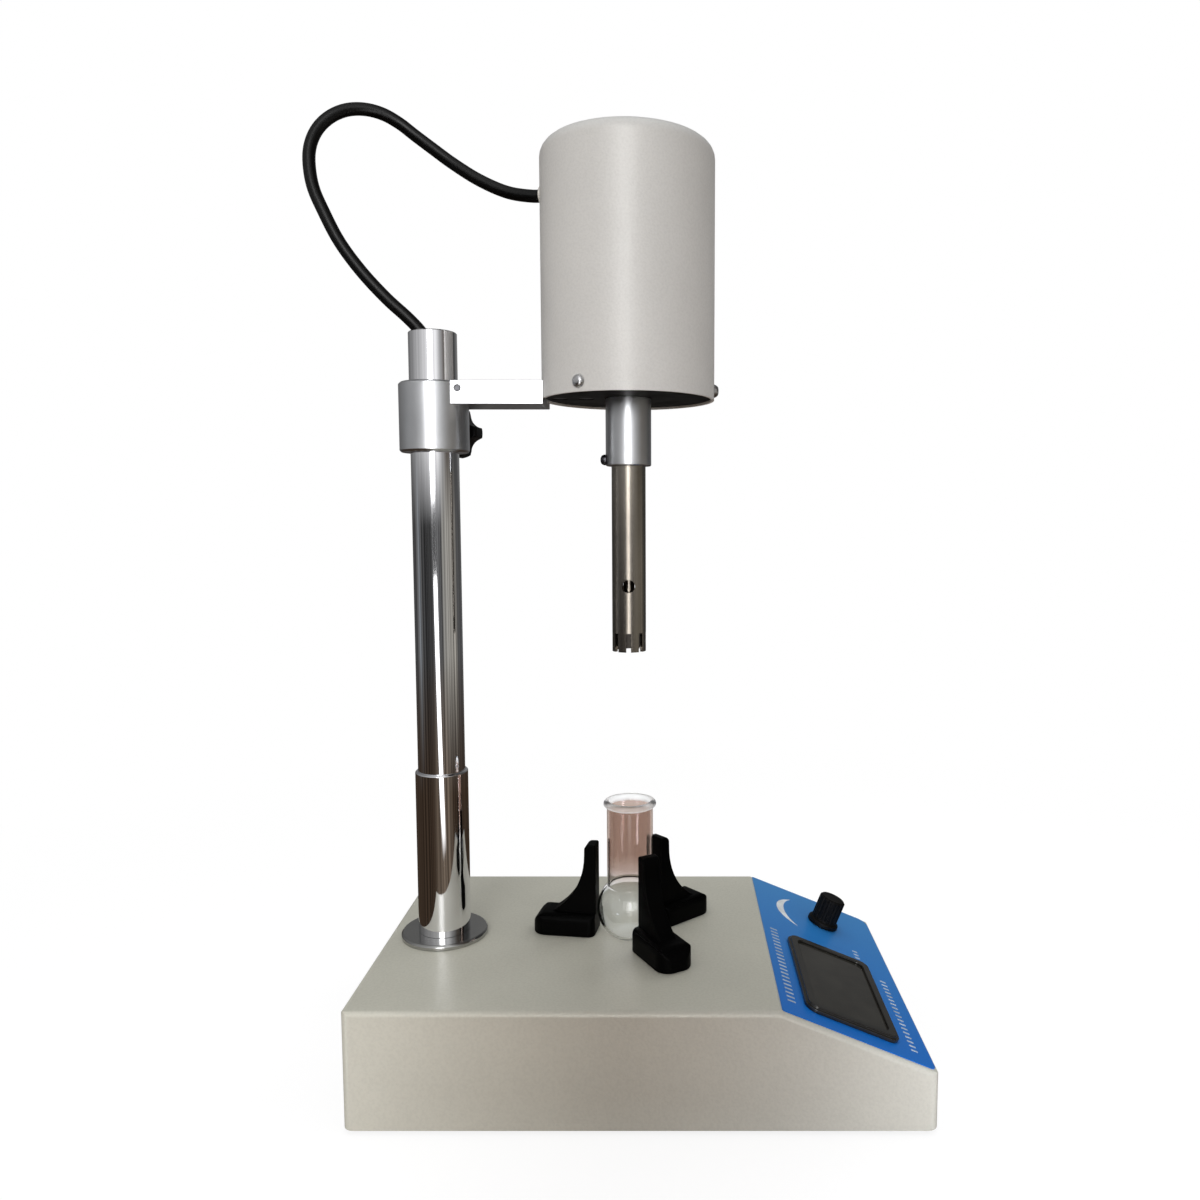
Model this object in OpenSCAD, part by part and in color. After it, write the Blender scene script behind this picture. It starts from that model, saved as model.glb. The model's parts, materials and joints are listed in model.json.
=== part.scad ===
// Laboratory homogenizer on a bench stand: a motor head on a column drives a rotor inside a slotted
// tube, above a small flask that three sliding jaws hold on the base.
// Millimetres, Z up. X runs along the base towards the control panel, Y away from the viewer.
// The origin is on the bench, under the middle of the base.

/* [Base] */
// Length of the base
base_l = 280; // [265:1:320]
// Depth of the base
base_d = 170; // [160:1:200]
// Height of the base's flat top above the bench
base_h = 60; // [56:1:75]
// Horizontal run of the sloped panel
panel_run = 75; // [72:1:85]
// Height of the panel's low edge above the bench
lip_h = 29.5; // [25:0.5:36]
// Thickness of the sheet steel
sheet = 1.5; // [1:0.1:2]
// Outer radius of the folded edges
bend_r = 3; // [2:0.5:6]
// Radius of the upright corners
corner_r = 5; // [4:0.5:10]
// Radius of the fold below the panel
nose_r = 3; // [2:0.5:10]
// Gap between the bench and the lower edge of the cover
skirt_gap = 2; // [1:0.5:4]
// Width of the flanges that carry the base plate
flange_w = 18; // [16:1:22]

/* [Underside] */
// Diameter of a rubber foot
foot_d = 18; // [14:1:18]
// Height of a rubber foot
foot_h = 6.5; // [5:0.5:8]
// Distance of the feet from the ends of the base
foot_inset_x = 22; // [20:1:40]
// Distance of the feet from the long sides of the base
foot_inset_y = 12; // [11:0.5:12]
// Thickness of the base plate
plate_t = 1.5; // [1:0.1:2]
// Diameter of the foot screws
foot_screw_d = 4; // [3:0.5:4]
// Head height of the foot screws
foot_head_h = 2.5; // [2:0.1:3]

/* [Column] */
// Distance of the column from the plain end of the base
column_inset = 30; // [28:1:36]
// Diameter of the column tube
column_d = 25; // [24:0.5:26]
// Wall of the column tube
column_wall = 1.5; // [1:0.1:2]
// Height of the column's top above the bench
column_top = 384; // [380:1:400]
// Diameter of the lower sleeve
sleeve_d = 28; // [27.5:0.5:32]
// Length of the lower sleeve
sleeve_h = 89; // [60:1:90]
// Diameter of the column's foot flange
foot_flange_d = 46.5; // [40:0.5:52]
// Thickness of the column's foot flange
foot_flange_t = 3; // [2:0.5:4]
// Width across flats of the nut under the cover
column_nut_af = 36; // [32:1:42]
// Height of the nut under the cover
column_nut_h = 8; // [5:0.5:10]
// Length of the rubber bush in the column's mouth
mouth_bush_h = 14; // [10:1:16]
// Wall of that bush
mouth_bush_wall = 1.6; // [1:0.1:1.8]

/* [Arm and clamp] */
// Distance from the column's axis to the motor's axis
reach = 102; // [96:1:110]
// Diameter of the clamp boss
boss_d = 36; // [34:1:40]
// Height of the clamp boss
boss_h = 36; // [34:1:44]
// Width of the flat arm
arm_w = 28; // [26:1:30]
// Height of the flat arm
arm_h = 12; // [11:0.5:14]
// How far the arm hangs below the edge of the can
arm_drop = 3; // [2:0.5:4]
// Thickness of the arm's tongue inside the can
tongue_t = 4; // [3:0.5:4.5]
// Width of that tongue
tongue_w = 24; // [20:1:25]
// Diameter of the cross pin that locks the arm to the boss
arm_pin_d = 3; // [2:0.5:3]
// Direction of the clamp screw, from the panel side towards the back
clamp_angle = 82; // [60:1:88]
// Height of the clamp screw above the boss's lower face
clamp_up = 13; // [12:0.5:14]
// Diameter of the clamp screw
clamp_screw_d = 6; // [5:0.5:6]
// Diameter of the clamp knob over its lobes
clamp_knob_d = 28; // [26:1:32]
// Length of the clamp knob's grip
clamp_knob_l = 13; // [10:1:16]
// Number of lobes on the clamp knob
clamp_lobes = 5; // [5:1:7]

/* [Motor] */
// Height of the can's lower edge above the bench
can_bottom = 349; // [345:1:352]
// Height of the motor can
can_h = 128; // [126:1:140]
// Diameter of the motor can
can_d = 90; // [90:1:96]
// Wall of the motor can
can_wall = 1.5; // [1:0.1:1.5]
// Radius of the can's upper edge
can_edge_r = 7; // [4:0.5:9]
// Depth of the black plate above the can's lower edge
plate_recess = 1; // [0.5:0.5:1.5]
// Diameter of the can screws
can_screw_d = 3; // [2.5:0.5:3.5]
// Diameter of the can screws' heads
can_head_d = 7; // [5.5:0.1:7.5]
// Height of the cable grommet above the can's lower edge
cable_up = 108; // [108:1:112]
// Direction of the cable grommet seen from the motor's axis
cable_angle = 165; // [163:1:167]
// Diameter of the motor cable
cable_d = 6.5; // [6:0.5:7]
// Outer diameter of the field stack
field_d = 70; // [68:1:71]
// Height of the field stack
field_h = 40; // [36:1:42]
// Diameter of the armature
armature_d = 36; // [34:1:38]
// Diameter of the commutator
commutator_d = 22; // [20:1:24]
// Diameter of the motor shaft
shaft_d = 8; // [6:0.5:8]
// Outer diameter of the ball bearings
bearing_d = 22; // [19:1:24]
// Width of the ball bearings
bearing_w = 7; // [6:0.5:7]
// Diameter of the cooling fan
fan_d = 54; // [46:1:56]
// Number of fan blades
fan_blades = 9; // [7:1:11]

/* [Tool] */
// Diameter of the tool collar
collar_d = 24; // [23:0.5:28]
// Visible length of the tool collar
collar_h = 35; // [34:1:38]
// Diameter of the stator tube
tool_d = 18; // [17:0.5:18.5]
// Wall of the stator tube
tool_wall = 1.75; // [1.25:0.25:2]
// Length of the stator tube below the collar
tool_out = 98; // [94:1:100]
// Length of the stator tube inside the collar
tool_in = 18; // [16:1:19]
// Number of slots at the tube's end
tool_slots = 8; // [6:1:10]
// Width of a slot
slot_w = 2.5; // [2:0.1:3]
// Height of a slot
slot_h = 10; // [8:1:14]
// Diameter of the cross hole
cross_hole_d = 7; // [4:0.5:8]
// Height of the cross hole above the tube's end
cross_hole_up = 35; // [34:1:45]
// Diameter of the drive shaft
drive_d = 6; // [5:0.5:6]
// Length of a shaft bush
bush_h = 8; // [6:1:8]

/* [Vessel] */
// Outer diameter of the flask's bulb
bulb_d = 36; // [34:1:38]
// Height of the bulb's centre above the base
bulb_up = 15; // [13:0.5:16]
// Outer diameter of the flask's neck
neck_d = 25; // [24.5:0.5:27]
// Height of the flask
flask_h = 75; // [66:1:76]
// Wall of the flask
glass = 1.2; // [1:0.1:1.3]
// Radius of the bead round the flask's mouth
bead_r = 1.8; // [1.2:0.1:2]

/* [Jaws] */
// Length of a jaw's foot
jaw_l = 35; // [31:1:38]
// Width of a jaw's foot
jaw_w = 20; // [16:1:21]
// Thickness of a jaw's foot
jaw_foot_t = 12; // [10:0.5:14]
// Height of a jaw
jaw_h = 50; // [42:1:52]
// Width of a jaw's finger
finger_w = 10; // [9:0.5:13]
// Thickness of the finger at its tip
finger_t = 6.5; // [6:0.5:8]
// How far a jaw slides outwards
jaw_travel = 15; // [10:1:15]
// Diameter of the jaw screws
jaw_screw_d = 4; // [3:0.5:4]

/* [Panel] */
// Thickness of the front label
label_t = 0.4; // [0.3:0.1:0.6]
// Distance of the display's middle from the panel's top edge, down the slope
display_s = 39; // [38:0.5:42]
// Sideways place of the display's middle
display_y = -33; // [-34:1:-26]
// Size of the display bezel down the slope
display_h = 49; // [46:1:50]
// Size of the display bezel across the panel
display_w = 80; // [78:1:84]
// Height of the bezel above the label
bezel_h = 3; // [3:0.5:6]
// Visible border of the bezel
bezel_border = 5; // [5:0.5:8]
// Distance of the speed knob from the panel's top edge, down the slope
knob_s = 43.5; // [38:0.5:45]
// Sideways place of the speed knob
knob_y = 48; // [46:1:56]
// Diameter of the knob's skirt
knob_skirt_d = 18.5; // [17:0.5:22]
// Diameter of the knob's grip
knob_d = 15.5; // [15:0.5:16]
// Height of the knob
knob_h = 17; // [15:0.5:20]
// Number of flutes on the knob
knob_flutes = 18; // [12:1:24]
// Diameter of the potentiometer's shaft
pot_shaft_d = 6; // [5:0.5:6]

/* [Plain end] */
// Height of the mains inlet and the switch above the bench
socket_z = 32; // [30:0.5:34]
// Sideways place of the mains inlet
inlet_y = -45; // [-50:1:-42]
// Sideways place of the rocker switch
switch_y = 45; // [40:1:52]

/* [Hidden] */

$fn = 64;
// Straight pieces in a quarter-round edge
arc_steps = 6;
// Overshoot of a cut through a face
over = 1;

// Clearances
// Static fit of a shaft in a hole, on the radius
fit_gap = 0.03;
// Running fit of a shaft in a hole, on the radius
run_gap = 0.06;
// Screw in its clearance hole, on the radius
screw_gap = 0.15;
// Between pieces that move past each other
free_gap = 0.4;
// Between sheet parts that lie side by side
side_gap = 0.3;

// Main places
column_x = column_inset - base_l / 2;
motor_x = column_x + reach;
panel_x = base_l / 2 - panel_run;
panel_tilt = atan((base_h - lip_h) / panel_run);
panel_len = norm([panel_run, base_h - lip_h]);
foot_x = base_l / 2 - foot_inset_x;
foot_y = base_d / 2 - foot_inset_y;
flange_z = foot_h + plate_t;
under_top = base_h - sheet;

// Heights of the head
arm_bottom = can_bottom - arm_drop;
arm_top = arm_bottom + arm_h;
tongue_bottom = arm_top - tongue_t;
boss_bottom = arm_top - boss_h;
clamp_z = boss_bottom + clamp_up;
plate_bottom = can_bottom + plate_recess;
can_top = can_bottom + can_h;
can_screw_z = (plate_bottom + arm_top) / 2;
collar_bottom = plate_bottom - collar_h;
tool_end = collar_bottom - tool_out;
tool_top = collar_bottom + tool_in;
tool_bore_r = tool_d / 2 - tool_wall;

// Heights of the motor, counted up from the plate
bell_wall = 4;
bell_floor = 4;
bell_seat = 32;
bell_ear_r = 4.5;
bolt_d = 4;
bolt_head_h = 3;
bolt_web = 2;
bolt_angle = 45;
bolt_r = field_d / 2 + 3.5;
coil_over = 6;
lower_bearing_z = arm_top + bell_floor;
field_z = arm_top + bell_seat;
upper_seat = field_z + field_h;
brush_z = upper_seat + 13;
brush_h = 6;
brush_w = 8;
brush_l = 15;
holder_wall = 1;
commutator_h = 13;
upper_disc_z = upper_seat + 22;
upper_disc_t = 10;
upper_bearing_z = upper_disc_z + 1;
fan_z = arm_top + 14;
shaft_top = upper_bearing_z + bearing_w - 1;
shaft_bottom = tool_top - 4;
coupling_d = 12;
coupling_reach = 8;
air_gap = 0.5;

// Rubber bush in the column's mouth
mouth_r = column_d / 2 - column_wall - run_gap;
mouth_drop = 0.6;

// Small fixed forms
chamfer = 1;
knob_neck_d = 12;
label_lap = 0.5;
label_start = 1.2;
label_top_r = 1;
label_near_r = 3;
label_far_r = 6;
bezel_skirt = 10;
bezel_wall = 1.6;
bezel_lip = 1.2;
window_t = 2;
board_t = 1.6;
pot_body_d = 16;
pot_body_h = 8;
pot_bush_d = 7;
pot_nut_af = 10;
pot_nut_h = 2;
knob_lift = 0.5;
knob_cap = 3;
standoff_h = 8;
standoff_r = 3;
control_l = 96;
control_w = 72;
control_x = -26;
jaw_edge_r = 4;
jaw_end_r = 7.5;
jaw_gap = 0.3;
jaw_screw_r = bulb_d / 2 + jaw_gap + 9;
jaw_screw_in = 8;
jaw_head_h = 3;
jaw_angles = [172, -60, 42];

// Route of the motor cable, from inside the can to inside the column
cable_route = [
  [-44, 9.5, 457], [-52, 11.8, 457], [-60, 14, 457.5], [-73, 17, 460.5], [-88, 19.5, 467.5],
  [-102, 21.5, 476.5], [-113, 22, 484.5], [-122.5, 22, 491.5], [-130, 21, 497], [-138, 19, 501],
  [-146.5, 16.5, 502.5], [-155, 13.5, 501.2], [-162.5, 10.5, 497], [-168.5, 8, 490.5],
  [-172, 5.5, 482], [-172.8, 3.5, 472], [-170.5, 1.5, 458.5], [-165, 0.5, 445.5], [-157, 0, 430],
  [-146, 0, 415], [-133.5, 0, 401.5], [-122, 0, 391], [-115, 0, 383], [-111.3, 0, 374], [-110, 0, 364],
];
cable_sides = 10;

// Outlines

function unit(v) = v / norm(v);

// Points of an arc about c, from angle a to angle b
function arc(c, r, a, b, steps = arc_steps) =
  [for (i = [0:steps]) c + r * [cos(a + (b - a) * i / steps), sin(a + (b - a) * i / steps)]];

// Corner p between its neighbours, rounded to radius r
function fillet(before, p, after, r) =
  r <= 0 ? [p] :
  let (
    u = unit(before - p),
    v = unit(after - p),
    half = acos(u * v) / 2,
    centre = p + unit(u + v) * r / sin(half),
    from = p + u * r / tan(half) - centre,
    to = p + v * r / tan(half) - centre,
    start = atan2(from.y, from.x)
  ) arc(centre, r, start, start + atan2(cross(from, to), from * to));

// Outline with a radius for each corner
function rounded(pts, radii) =
  let (n = len(pts))
  [for (i = [0:n - 1]) each fillet(pts[(i + n - 1) % n], pts[i], pts[(i + 1) % n], radii[i])];

// Rectangle about the origin with its four corners rounded
function round_rect(w, h, r) =
  rounded([[-w, -h] / 2, [w, -h] / 2, [w, h] / 2, [-w, h] / 2], [r, r, r, r]);

// Places

module at_column() { translate([column_x, 0, 0]) children(); }
module at_motor() { translate([motor_x, 0, 0]) children(); }
module at_flask() { translate([motor_x, 0, base_h]) children(); }

// Panel frame: X down the slope from its top edge, Z out of the panel
module on_panel() { translate([panel_x, 0, base_h]) rotate([0, panel_tilt, 0]) children(); }
module at_display() { on_panel() translate([display_s, display_y, 0]) children(); }
module at_knob() { on_panel() translate([knob_s, knob_y, 0]) children(); }

// Plain-end frame: Z out of the end wall, Y up
module on_end(y) { translate([-base_l / 2, y, socket_z]) rotate([90, 0, -90]) children(); }

// Radial frame: Z outwards at an angle and a height
module radial(angle, z) { rotate(angle) translate([0, 0, z]) rotate([0, 90, 0]) children(); }

module at_feet() {
  for (x = [-foot_x, foot_x], y = [-foot_y, foot_y])
    translate([x, y, 0]) children();
}

// Shared forms

module tube(r_out, r_in, h) {
  difference() {
    cylinder(r = r_out, h = h);
    translate([0, 0, -over]) cylinder(r = r_in, h = h + 2 * over);
  }
}

// Turned ring with chamfered outer edges
module turned_ring(r_out, r_in, h, low, high) {
  rotate_extrude()
    polygon([
      [r_in, 0], [r_out - low, 0], [r_out, low], [r_out, h - high], [r_out - high, h], [r_in, h],
    ]);
}

// Pan head that stands on Z = 0
module pan_head(d, h) {
  edge_r = 0.8 * h;
  rotate_extrude()
    polygon(concat([[0, 0], [d / 2, 0]], arc([d / 2 - edge_r, h - edge_r], edge_r, 0, 90), [[0, h]]));
}

// Outer form of the cover, inset on all sides by d, from z0 upwards
module base_form(d, z0) {
  rear = -base_l / 2 + d;
  front = base_l / 2 - d;
  side = base_d / 2 - d;
  top = base_h - d;
  fold = bend_r - d;
  break_x = panel_x - d * tan(panel_tilt / 2);
  nose_z = lip_h - d * (1 - sin(panel_tilt)) / cos(panel_tilt);
  profile = rounded(
    [[rear, z0], [rear, top], [break_x, top], [front, nose_z], [front, z0]],
    [0, fold, fold, nose_r - d, 0]
  );
  end = rounded([[-side, z0], [-side, top], [side, top], [side, z0]], [0, fold, fold, 0]);
  slope = rounded(
    [[-side, -base_l], [-side, -d], [side, -d], [side, -base_l]],
    [0, fold, fold, 0]
  );
  intersection() {
    translate([0, side, 0]) rotate([90, 0, 0]) linear_extrude(2 * side) polygon(profile);
    translate([0, 0, z0]) linear_extrude(base_h) polygon(round_rect(2 * front, 2 * side, corner_r - d));
    translate([rear, 0, 0]) rotate([90, 0, 90]) linear_extrude(2 * front) polygon(end);
    on_panel() translate([-base_l, 0, 0]) rotate([90, 0, 90]) linear_extrude(2 * base_l) polygon(slope);
  }
}

// Jaw slot, along X from the screw's place outwards
module jaw_slot(r, h) {
  for (x = [0, jaw_travel])
    translate([jaw_screw_r + x, 0, 0]) cylinder(r = r, h = h);
  translate([jaw_screw_r, -r, 0]) cube([jaw_travel, 2 * r, h]);
}

// Base

inlet_w = 27.4;
inlet_h = 20;
inlet_rim = 2;
inlet_lip = 2;
inlet_depth = 24;
inlet_wall = 1.8;
inlet_floor = 4;
inlet_pin = [2, 4, 16];
inlet_pin_root = 2;
inlet_pin_places = [[-7, 2], [7, 2], [0, 6]];
switch_w = 16;
switch_h = 28;
switch_depth = 22;
switch_rim = 2;
switch_lip = 1.5;
switch_wall = 1.4;
rocker_w = 12;
rocker_h = 22;
rocker_rise = 3;
rocker_dip = 1.8;
rocker_root = 4;
rocker_taper = 1;
rocker_edge_r = 1;
rocker_tilt = 10;
rocker_sink = 1;
rocker_pin_d = 3;
rocker_pin_l = 1.2;

module base_shell() {
  color([0.72, 0.71, 0.66])
  difference() {
    union() {
      difference() {
        base_form(0, skirt_gap);
        base_form(sheet, skirt_gap - over);
      }
      for (side = [-1, 1])
        translate([0, side * (base_d / 2 - sheet / 2 - flange_w / 2), flange_z + sheet / 2])
          cube([base_l - 2 * corner_r, flange_w, sheet], center = true);
    }
    at_column() cylinder(r = column_d / 2 + screw_gap, h = base_h + over);
    at_flask()
      for (angle = jaw_angles)
        rotate(angle) translate([0, 0, -sheet - over]) jaw_slot(jaw_screw_d / 2 + free_gap, sheet + 2 * over);
    at_display() translate([0, 0, -sheet - over])
      linear_extrude(sheet + 2 * over) polygon(bezel_body(side_gap));
    at_knob() translate([0, 0, -sheet - over]) cylinder(d = pot_bush_d + 2 * screw_gap, h = sheet + 2 * over);
    on_end(inlet_y) panel_cut(inlet_w, inlet_h);
    on_end(switch_y) panel_cut(switch_w, switch_h);
    at_feet() cylinder(r = foot_screw_d / 2 + screw_gap, h = flange_z + sheet + over);
  }
}

// Cut for a part that is pushed through the plain end's wall
module panel_cut(w, h) {
  translate([0, 0, -sheet / 2])
    cube([w + 2 * screw_gap, h + 2 * screw_gap, sheet + 2 * over], center = true);
}

module base_plate() {
  inset = sheet + side_gap;
  color([0.6, 0.6, 0.62])
  difference() {
    translate([0, 0, foot_h]) linear_extrude(plate_t)
      polygon(round_rect(base_l - 2 * inset, base_d - 2 * inset, corner_r - inset));
    at_feet() cylinder(r = foot_screw_d / 2 + screw_gap, h = flange_z + over);
  }
}

foot_taper = 2;
foot_web = 1.2;
foot_seat_z = foot_h - foot_web;

module rubber_feet() {
  color([0.08, 0.08, 0.08])
  at_feet()
    difference() {
      cylinder(d1 = foot_d - foot_taper, d2 = foot_d, h = foot_h);
      translate([0, 0, -over]) cylinder(r = foot_screw_d / 2 + screw_gap, h = foot_h + 2 * over);
      translate([0, 0, -over]) cylinder(r = foot_screw_d + side_gap, h = foot_seat_z + over);
    }
}

module foot_screws() {
  past_flange = 2;
  color([0.75, 0.75, 0.77])
  at_feet() translate([0, 0, foot_seat_z]) {
    mirror([0, 0, 1]) pan_head(2 * foot_screw_d, foot_head_h);
    cylinder(d = foot_screw_d, h = flange_z + sheet + past_flange - foot_seat_z);
  }
}

module column_flange() {
  color([0.85, 0.85, 0.86])
  at_column() translate([0, 0, base_h])
    turned_ring(foot_flange_d / 2, column_d / 2 + fit_gap, foot_flange_t, 0, chamfer);
}

module column_tube() {
  past_nut = 4;
  low = under_top - column_nut_h - past_nut;
  color([0.88, 0.88, 0.9])
  at_column() translate([0, 0, low])
    turned_ring(column_d / 2, column_d / 2 - column_wall, column_top - low, 0, column_wall / 3);
}

module column_sleeve() {
  color([0.85, 0.85, 0.87])
  at_column() translate([0, 0, base_h + foot_flange_t])
    turned_ring(sleeve_d / 2, column_d / 2 + fit_gap, sleeve_h, 0, (sleeve_d - column_d) / 4);
}

module column_nut() {
  color([0.7, 0.7, 0.72])
  at_column() translate([0, 0, under_top - column_nut_h])
    difference() {
      cylinder(r = column_nut_af / 2 / cos(30), h = column_nut_h, $fn = 6);
      translate([0, 0, -over]) cylinder(r = column_d / 2 + fit_gap, h = column_nut_h + 2 * over);
    }
}

// Panel

function bezel_body(grow) =
  round_rect(display_h - bezel_border + 2 * grow, display_w - bezel_border + 2 * grow, 2 + grow);

// The film laps a little onto the folds at the panel's lower edge and sides
module panel_label() {
  low = panel_len - nose_r * tan(45 - panel_tilt / 2) + label_lap;
  half_w = base_d / 2 - bend_r + label_lap;
  color([0.16, 0.42, 0.75])
  difference() {
    on_panel() linear_extrude(label_t)
      polygon(rounded(
        [[label_start, -half_w], [low, -half_w], [low, half_w], [label_start, half_w]],
        [label_top_r, label_near_r, label_far_r, label_top_r]
      ));
    at_display() translate([0, 0, -over]) linear_extrude(label_t + 2 * over) polygon(bezel_body(side_gap));
    at_knob() translate([0, 0, -over]) cylinder(d = pot_bush_d + 2 * screw_gap, h = label_t + 2 * over);
  }
}

window_top = label_t + bezel_h - bezel_lip;

module display_bezel() {
  rim_r = 6;
  opening_r = 4;
  step = 1.2;
  color([0.05, 0.05, 0.05])
  at_display()
    difference() {
      union() {
        translate([0, 0, label_t]) linear_extrude(bezel_h - step)
          polygon(round_rect(display_h, display_w, rim_r));
        translate([0, 0, label_t]) linear_extrude(bezel_h)
          polygon(round_rect(display_h - 2 * step, display_w - 2 * step, rim_r - step));
        translate([0, 0, -bezel_skirt]) linear_extrude(bezel_skirt + label_t + over) polygon(bezel_body(0));
      }
      translate([0, 0, -bezel_skirt - over]) linear_extrude(bezel_skirt + over + window_top)
        polygon(bezel_body(-bezel_wall));
      linear_extrude(label_t + bezel_h + over)
        polygon(round_rect(display_h - 2 * bezel_border, display_w - 2 * bezel_border, opening_r));
    }
}

module display_window() {
  color([0.1, 0.1, 0.1])
  at_display() translate([0, 0, window_top - window_t])
    linear_extrude(window_t) polygon(bezel_body(-bezel_wall - side_gap / 2));
}

module display_board() {
  digit_w = 10;
  digit_l = 16;
  digit_pitch = 13;
  board_z = -bezel_skirt + side_gap;
  color([0.1, 0.35, 0.2])
  at_display() {
    translate([0, 0, board_z])
      linear_extrude(board_t) polygon(bezel_body(-bezel_wall - side_gap / 2));
    for (i = [-1.5:1:1.5])
      translate([-digit_l / 2, i * digit_pitch - digit_w / 2, board_z + board_t - fit_gap])
        cube([digit_l, digit_w, window_top - window_t - side_gap - board_z - board_t]);
  }
}

module speed_pot() {
  color([0.55, 0.56, 0.58])
  at_knob()
    difference() {
      union() {
        translate([0, 0, -sheet - pot_body_h]) cylinder(d = pot_body_d, h = pot_body_h);
        translate([0, 0, -sheet - fit_gap])
          cylinder(d = pot_bush_d, h = sheet + label_t + pot_nut_h + fit_gap);
        translate([0, 0, label_t]) cylinder(r = pot_nut_af / 2 / cos(30), h = pot_nut_h, $fn = 6);
      }
      translate([0, 0, -sheet - pot_body_h + chamfer])
        cylinder(d = pot_shaft_d + 2 * run_gap, h = pot_body_h + sheet + label_t + pot_nut_h + over);
    }
}

module pot_shaft() {
  low = -sheet - pot_body_h + chamfer + side_gap;
  color([0.8, 0.8, 0.8])
  at_knob() translate([0, 0, low])
    cylinder(d = pot_shaft_d, h = label_t + knob_lift + knob_h - knob_cap - low);
}

module speed_knob() {
  skirt_h = 3;
  flute_r = 0.8;
  hollow_h = pot_nut_h + chamfer;
  color([0.06, 0.06, 0.06])
  at_knob() translate([0, 0, label_t + knob_lift])
    difference() {
      union() {
        turned_ring(knob_skirt_d / 2, 0, skirt_h, 0, chamfer);
        turned_ring(knob_d / 2, 0, knob_h, 0, chamfer);
      }
      translate([0, 0, -over])
        cylinder(r = pot_nut_af / 2 / cos(30) + free_gap, h = hollow_h + over);
      cylinder(d = pot_shaft_d + 2 * fit_gap, h = knob_h - knob_cap);
      for (i = [0:knob_flutes - 1])
        rotate(i * 360 / knob_flutes) translate([knob_d / 2 + flute_r / 3, 0, skirt_h + flute_r])
          cylinder(r = flute_r, h = knob_h);
    }
}

// Inside the base

module at_standoffs() {
  edge = standoff_r + 2;
  for (x = [-1, 1], y = [-1, 1])
    translate([control_x + x * (control_l / 2 - edge), y * (control_w / 2 - edge), flange_z]) children();
}

module board_standoffs() {
  color([0.85, 0.75, 0.4])
  at_standoffs() cylinder(r = standoff_r, h = standoff_h, $fn = 6);
}

board_top = flange_z + standoff_h + board_t;

module control_board() {
  fins = 5;
  fin = [2, 24, 22];
  fin_pitch = 6;
  sink_at = [4, 4];
  sink_t = 4;
  capacitor_at = [82, 54];
  capacitor_d = 14;
  capacitor_h = 22;
  terminal_at = [3, 6];
  terminal = [10, 28, 12];
  color([0.1, 0.4, 0.22])
  translate([control_x - control_l / 2, -control_w / 2, flange_z + standoff_h]) {
    cube([control_l, control_w, board_t]);
    translate([0, 0, board_t - fit_gap]) {
      translate(sink_at) {
        for (i = [0:fins - 1])
          translate([i * fin_pitch + control_l / 2, 0, 0]) cube(fin);
        translate([control_l / 2, 0, 0]) cube([(fins - 1) * fin_pitch + fin.x, fin.y, sink_t]);
      }
      translate(capacitor_at) cylinder(d = capacitor_d, h = capacitor_h);
      translate(terminal_at) cube(terminal);
    }
  }
}

module power_transformer() {
  place = [-22, 16];
  core = [32, 26, 24];
  winding = [20, 32, 16];
  color([0.75, 0.5, 0.25])
  translate([control_x + place.x, place.y, board_top + core.z / 2]) {
    cube(core, center = true);
    cube(winding, center = true);
  }
}

// Plain end

module mains_inlet() {
  color([0.05, 0.05, 0.05])
  on_end(inlet_y)
    difference() {
      union() {
        linear_extrude(inlet_lip)
          polygon(round_rect(inlet_w + 2 * inlet_rim, inlet_h + 2 * inlet_rim, inlet_rim));
        translate([-inlet_w / 2, -inlet_h / 2, -inlet_depth]) cube([inlet_w, inlet_h, inlet_depth + over]);
      }
      translate([-inlet_w / 2 + inlet_wall, -inlet_h / 2 + inlet_wall, -inlet_depth + inlet_floor])
        cube([inlet_w - 2 * inlet_wall, inlet_h - 2 * inlet_wall, inlet_depth + inlet_lip]);
      at_inlet_pins() cube(inlet_pin + 2 * fit_gap * [1, 1, 0], center = true);
    }
}

// Middles of the pins, which are rooted in the socket's floor
module at_inlet_pins() {
  for (p = inlet_pin_places)
    translate([p.x, p.y, -inlet_depth + inlet_floor - inlet_pin_root + inlet_pin.z / 2]) children();
}

module inlet_pins() {
  color([0.72, 0.56, 0.28])
  on_end(inlet_y) at_inlet_pins() cube(inlet_pin, center = true);
}

module switch_housing() {
  color([0.07, 0.07, 0.07])
  on_end(switch_y)
    difference() {
      union() {
        linear_extrude(switch_lip)
          polygon(round_rect(switch_w + 2 * switch_rim, switch_h + 2 * switch_rim, switch_rim));
        translate([-switch_w / 2, -switch_h / 2, -switch_depth])
          cube([switch_w, switch_h, switch_depth + over]);
      }
      translate([-rocker_w / 2 - side_gap, -switch_h / 2 + switch_wall, -switch_depth + switch_wall])
        cube([rocker_w + 2 * side_gap, switch_h - 2 * switch_wall, switch_depth + switch_lip]);
      at_rocker()
        cylinder(r = rocker_pin_d / 2 + run_gap, h = rocker_w + 2 * (rocker_pin_l + side_gap), center = true);
    }
}

// Rocker frame: Z along the pivot, which lies just inside the end wall
module at_rocker() { translate([0, 0, -rocker_sink]) rotate([0, 90, 0]) children(); }

// The rocker swings on two short pins; its upper half is pressed in at rest
module power_rocker() {
  top_y = rocker_h / 2;
  root_y = top_y - rocker_taper;
  color([0.1, 0.1, 0.1])
  on_end(switch_y) at_rocker() {
    cylinder(d = rocker_pin_d, h = rocker_w + 2 * rocker_pin_l, center = true);
    rotate(90 - rocker_tilt) translate([0, 0, -rocker_w / 2])
      linear_extrude(rocker_w)
        polygon(rounded(
          [
            [-root_y, -rocker_root], [root_y, -rocker_root],
            [top_y, rocker_rise], [0, rocker_dip], [-top_y, rocker_rise],
          ],
          rocker_edge_r * [1, 1, 1, 0, 1]
        ));
  }
}

// Clamp and arm

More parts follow.
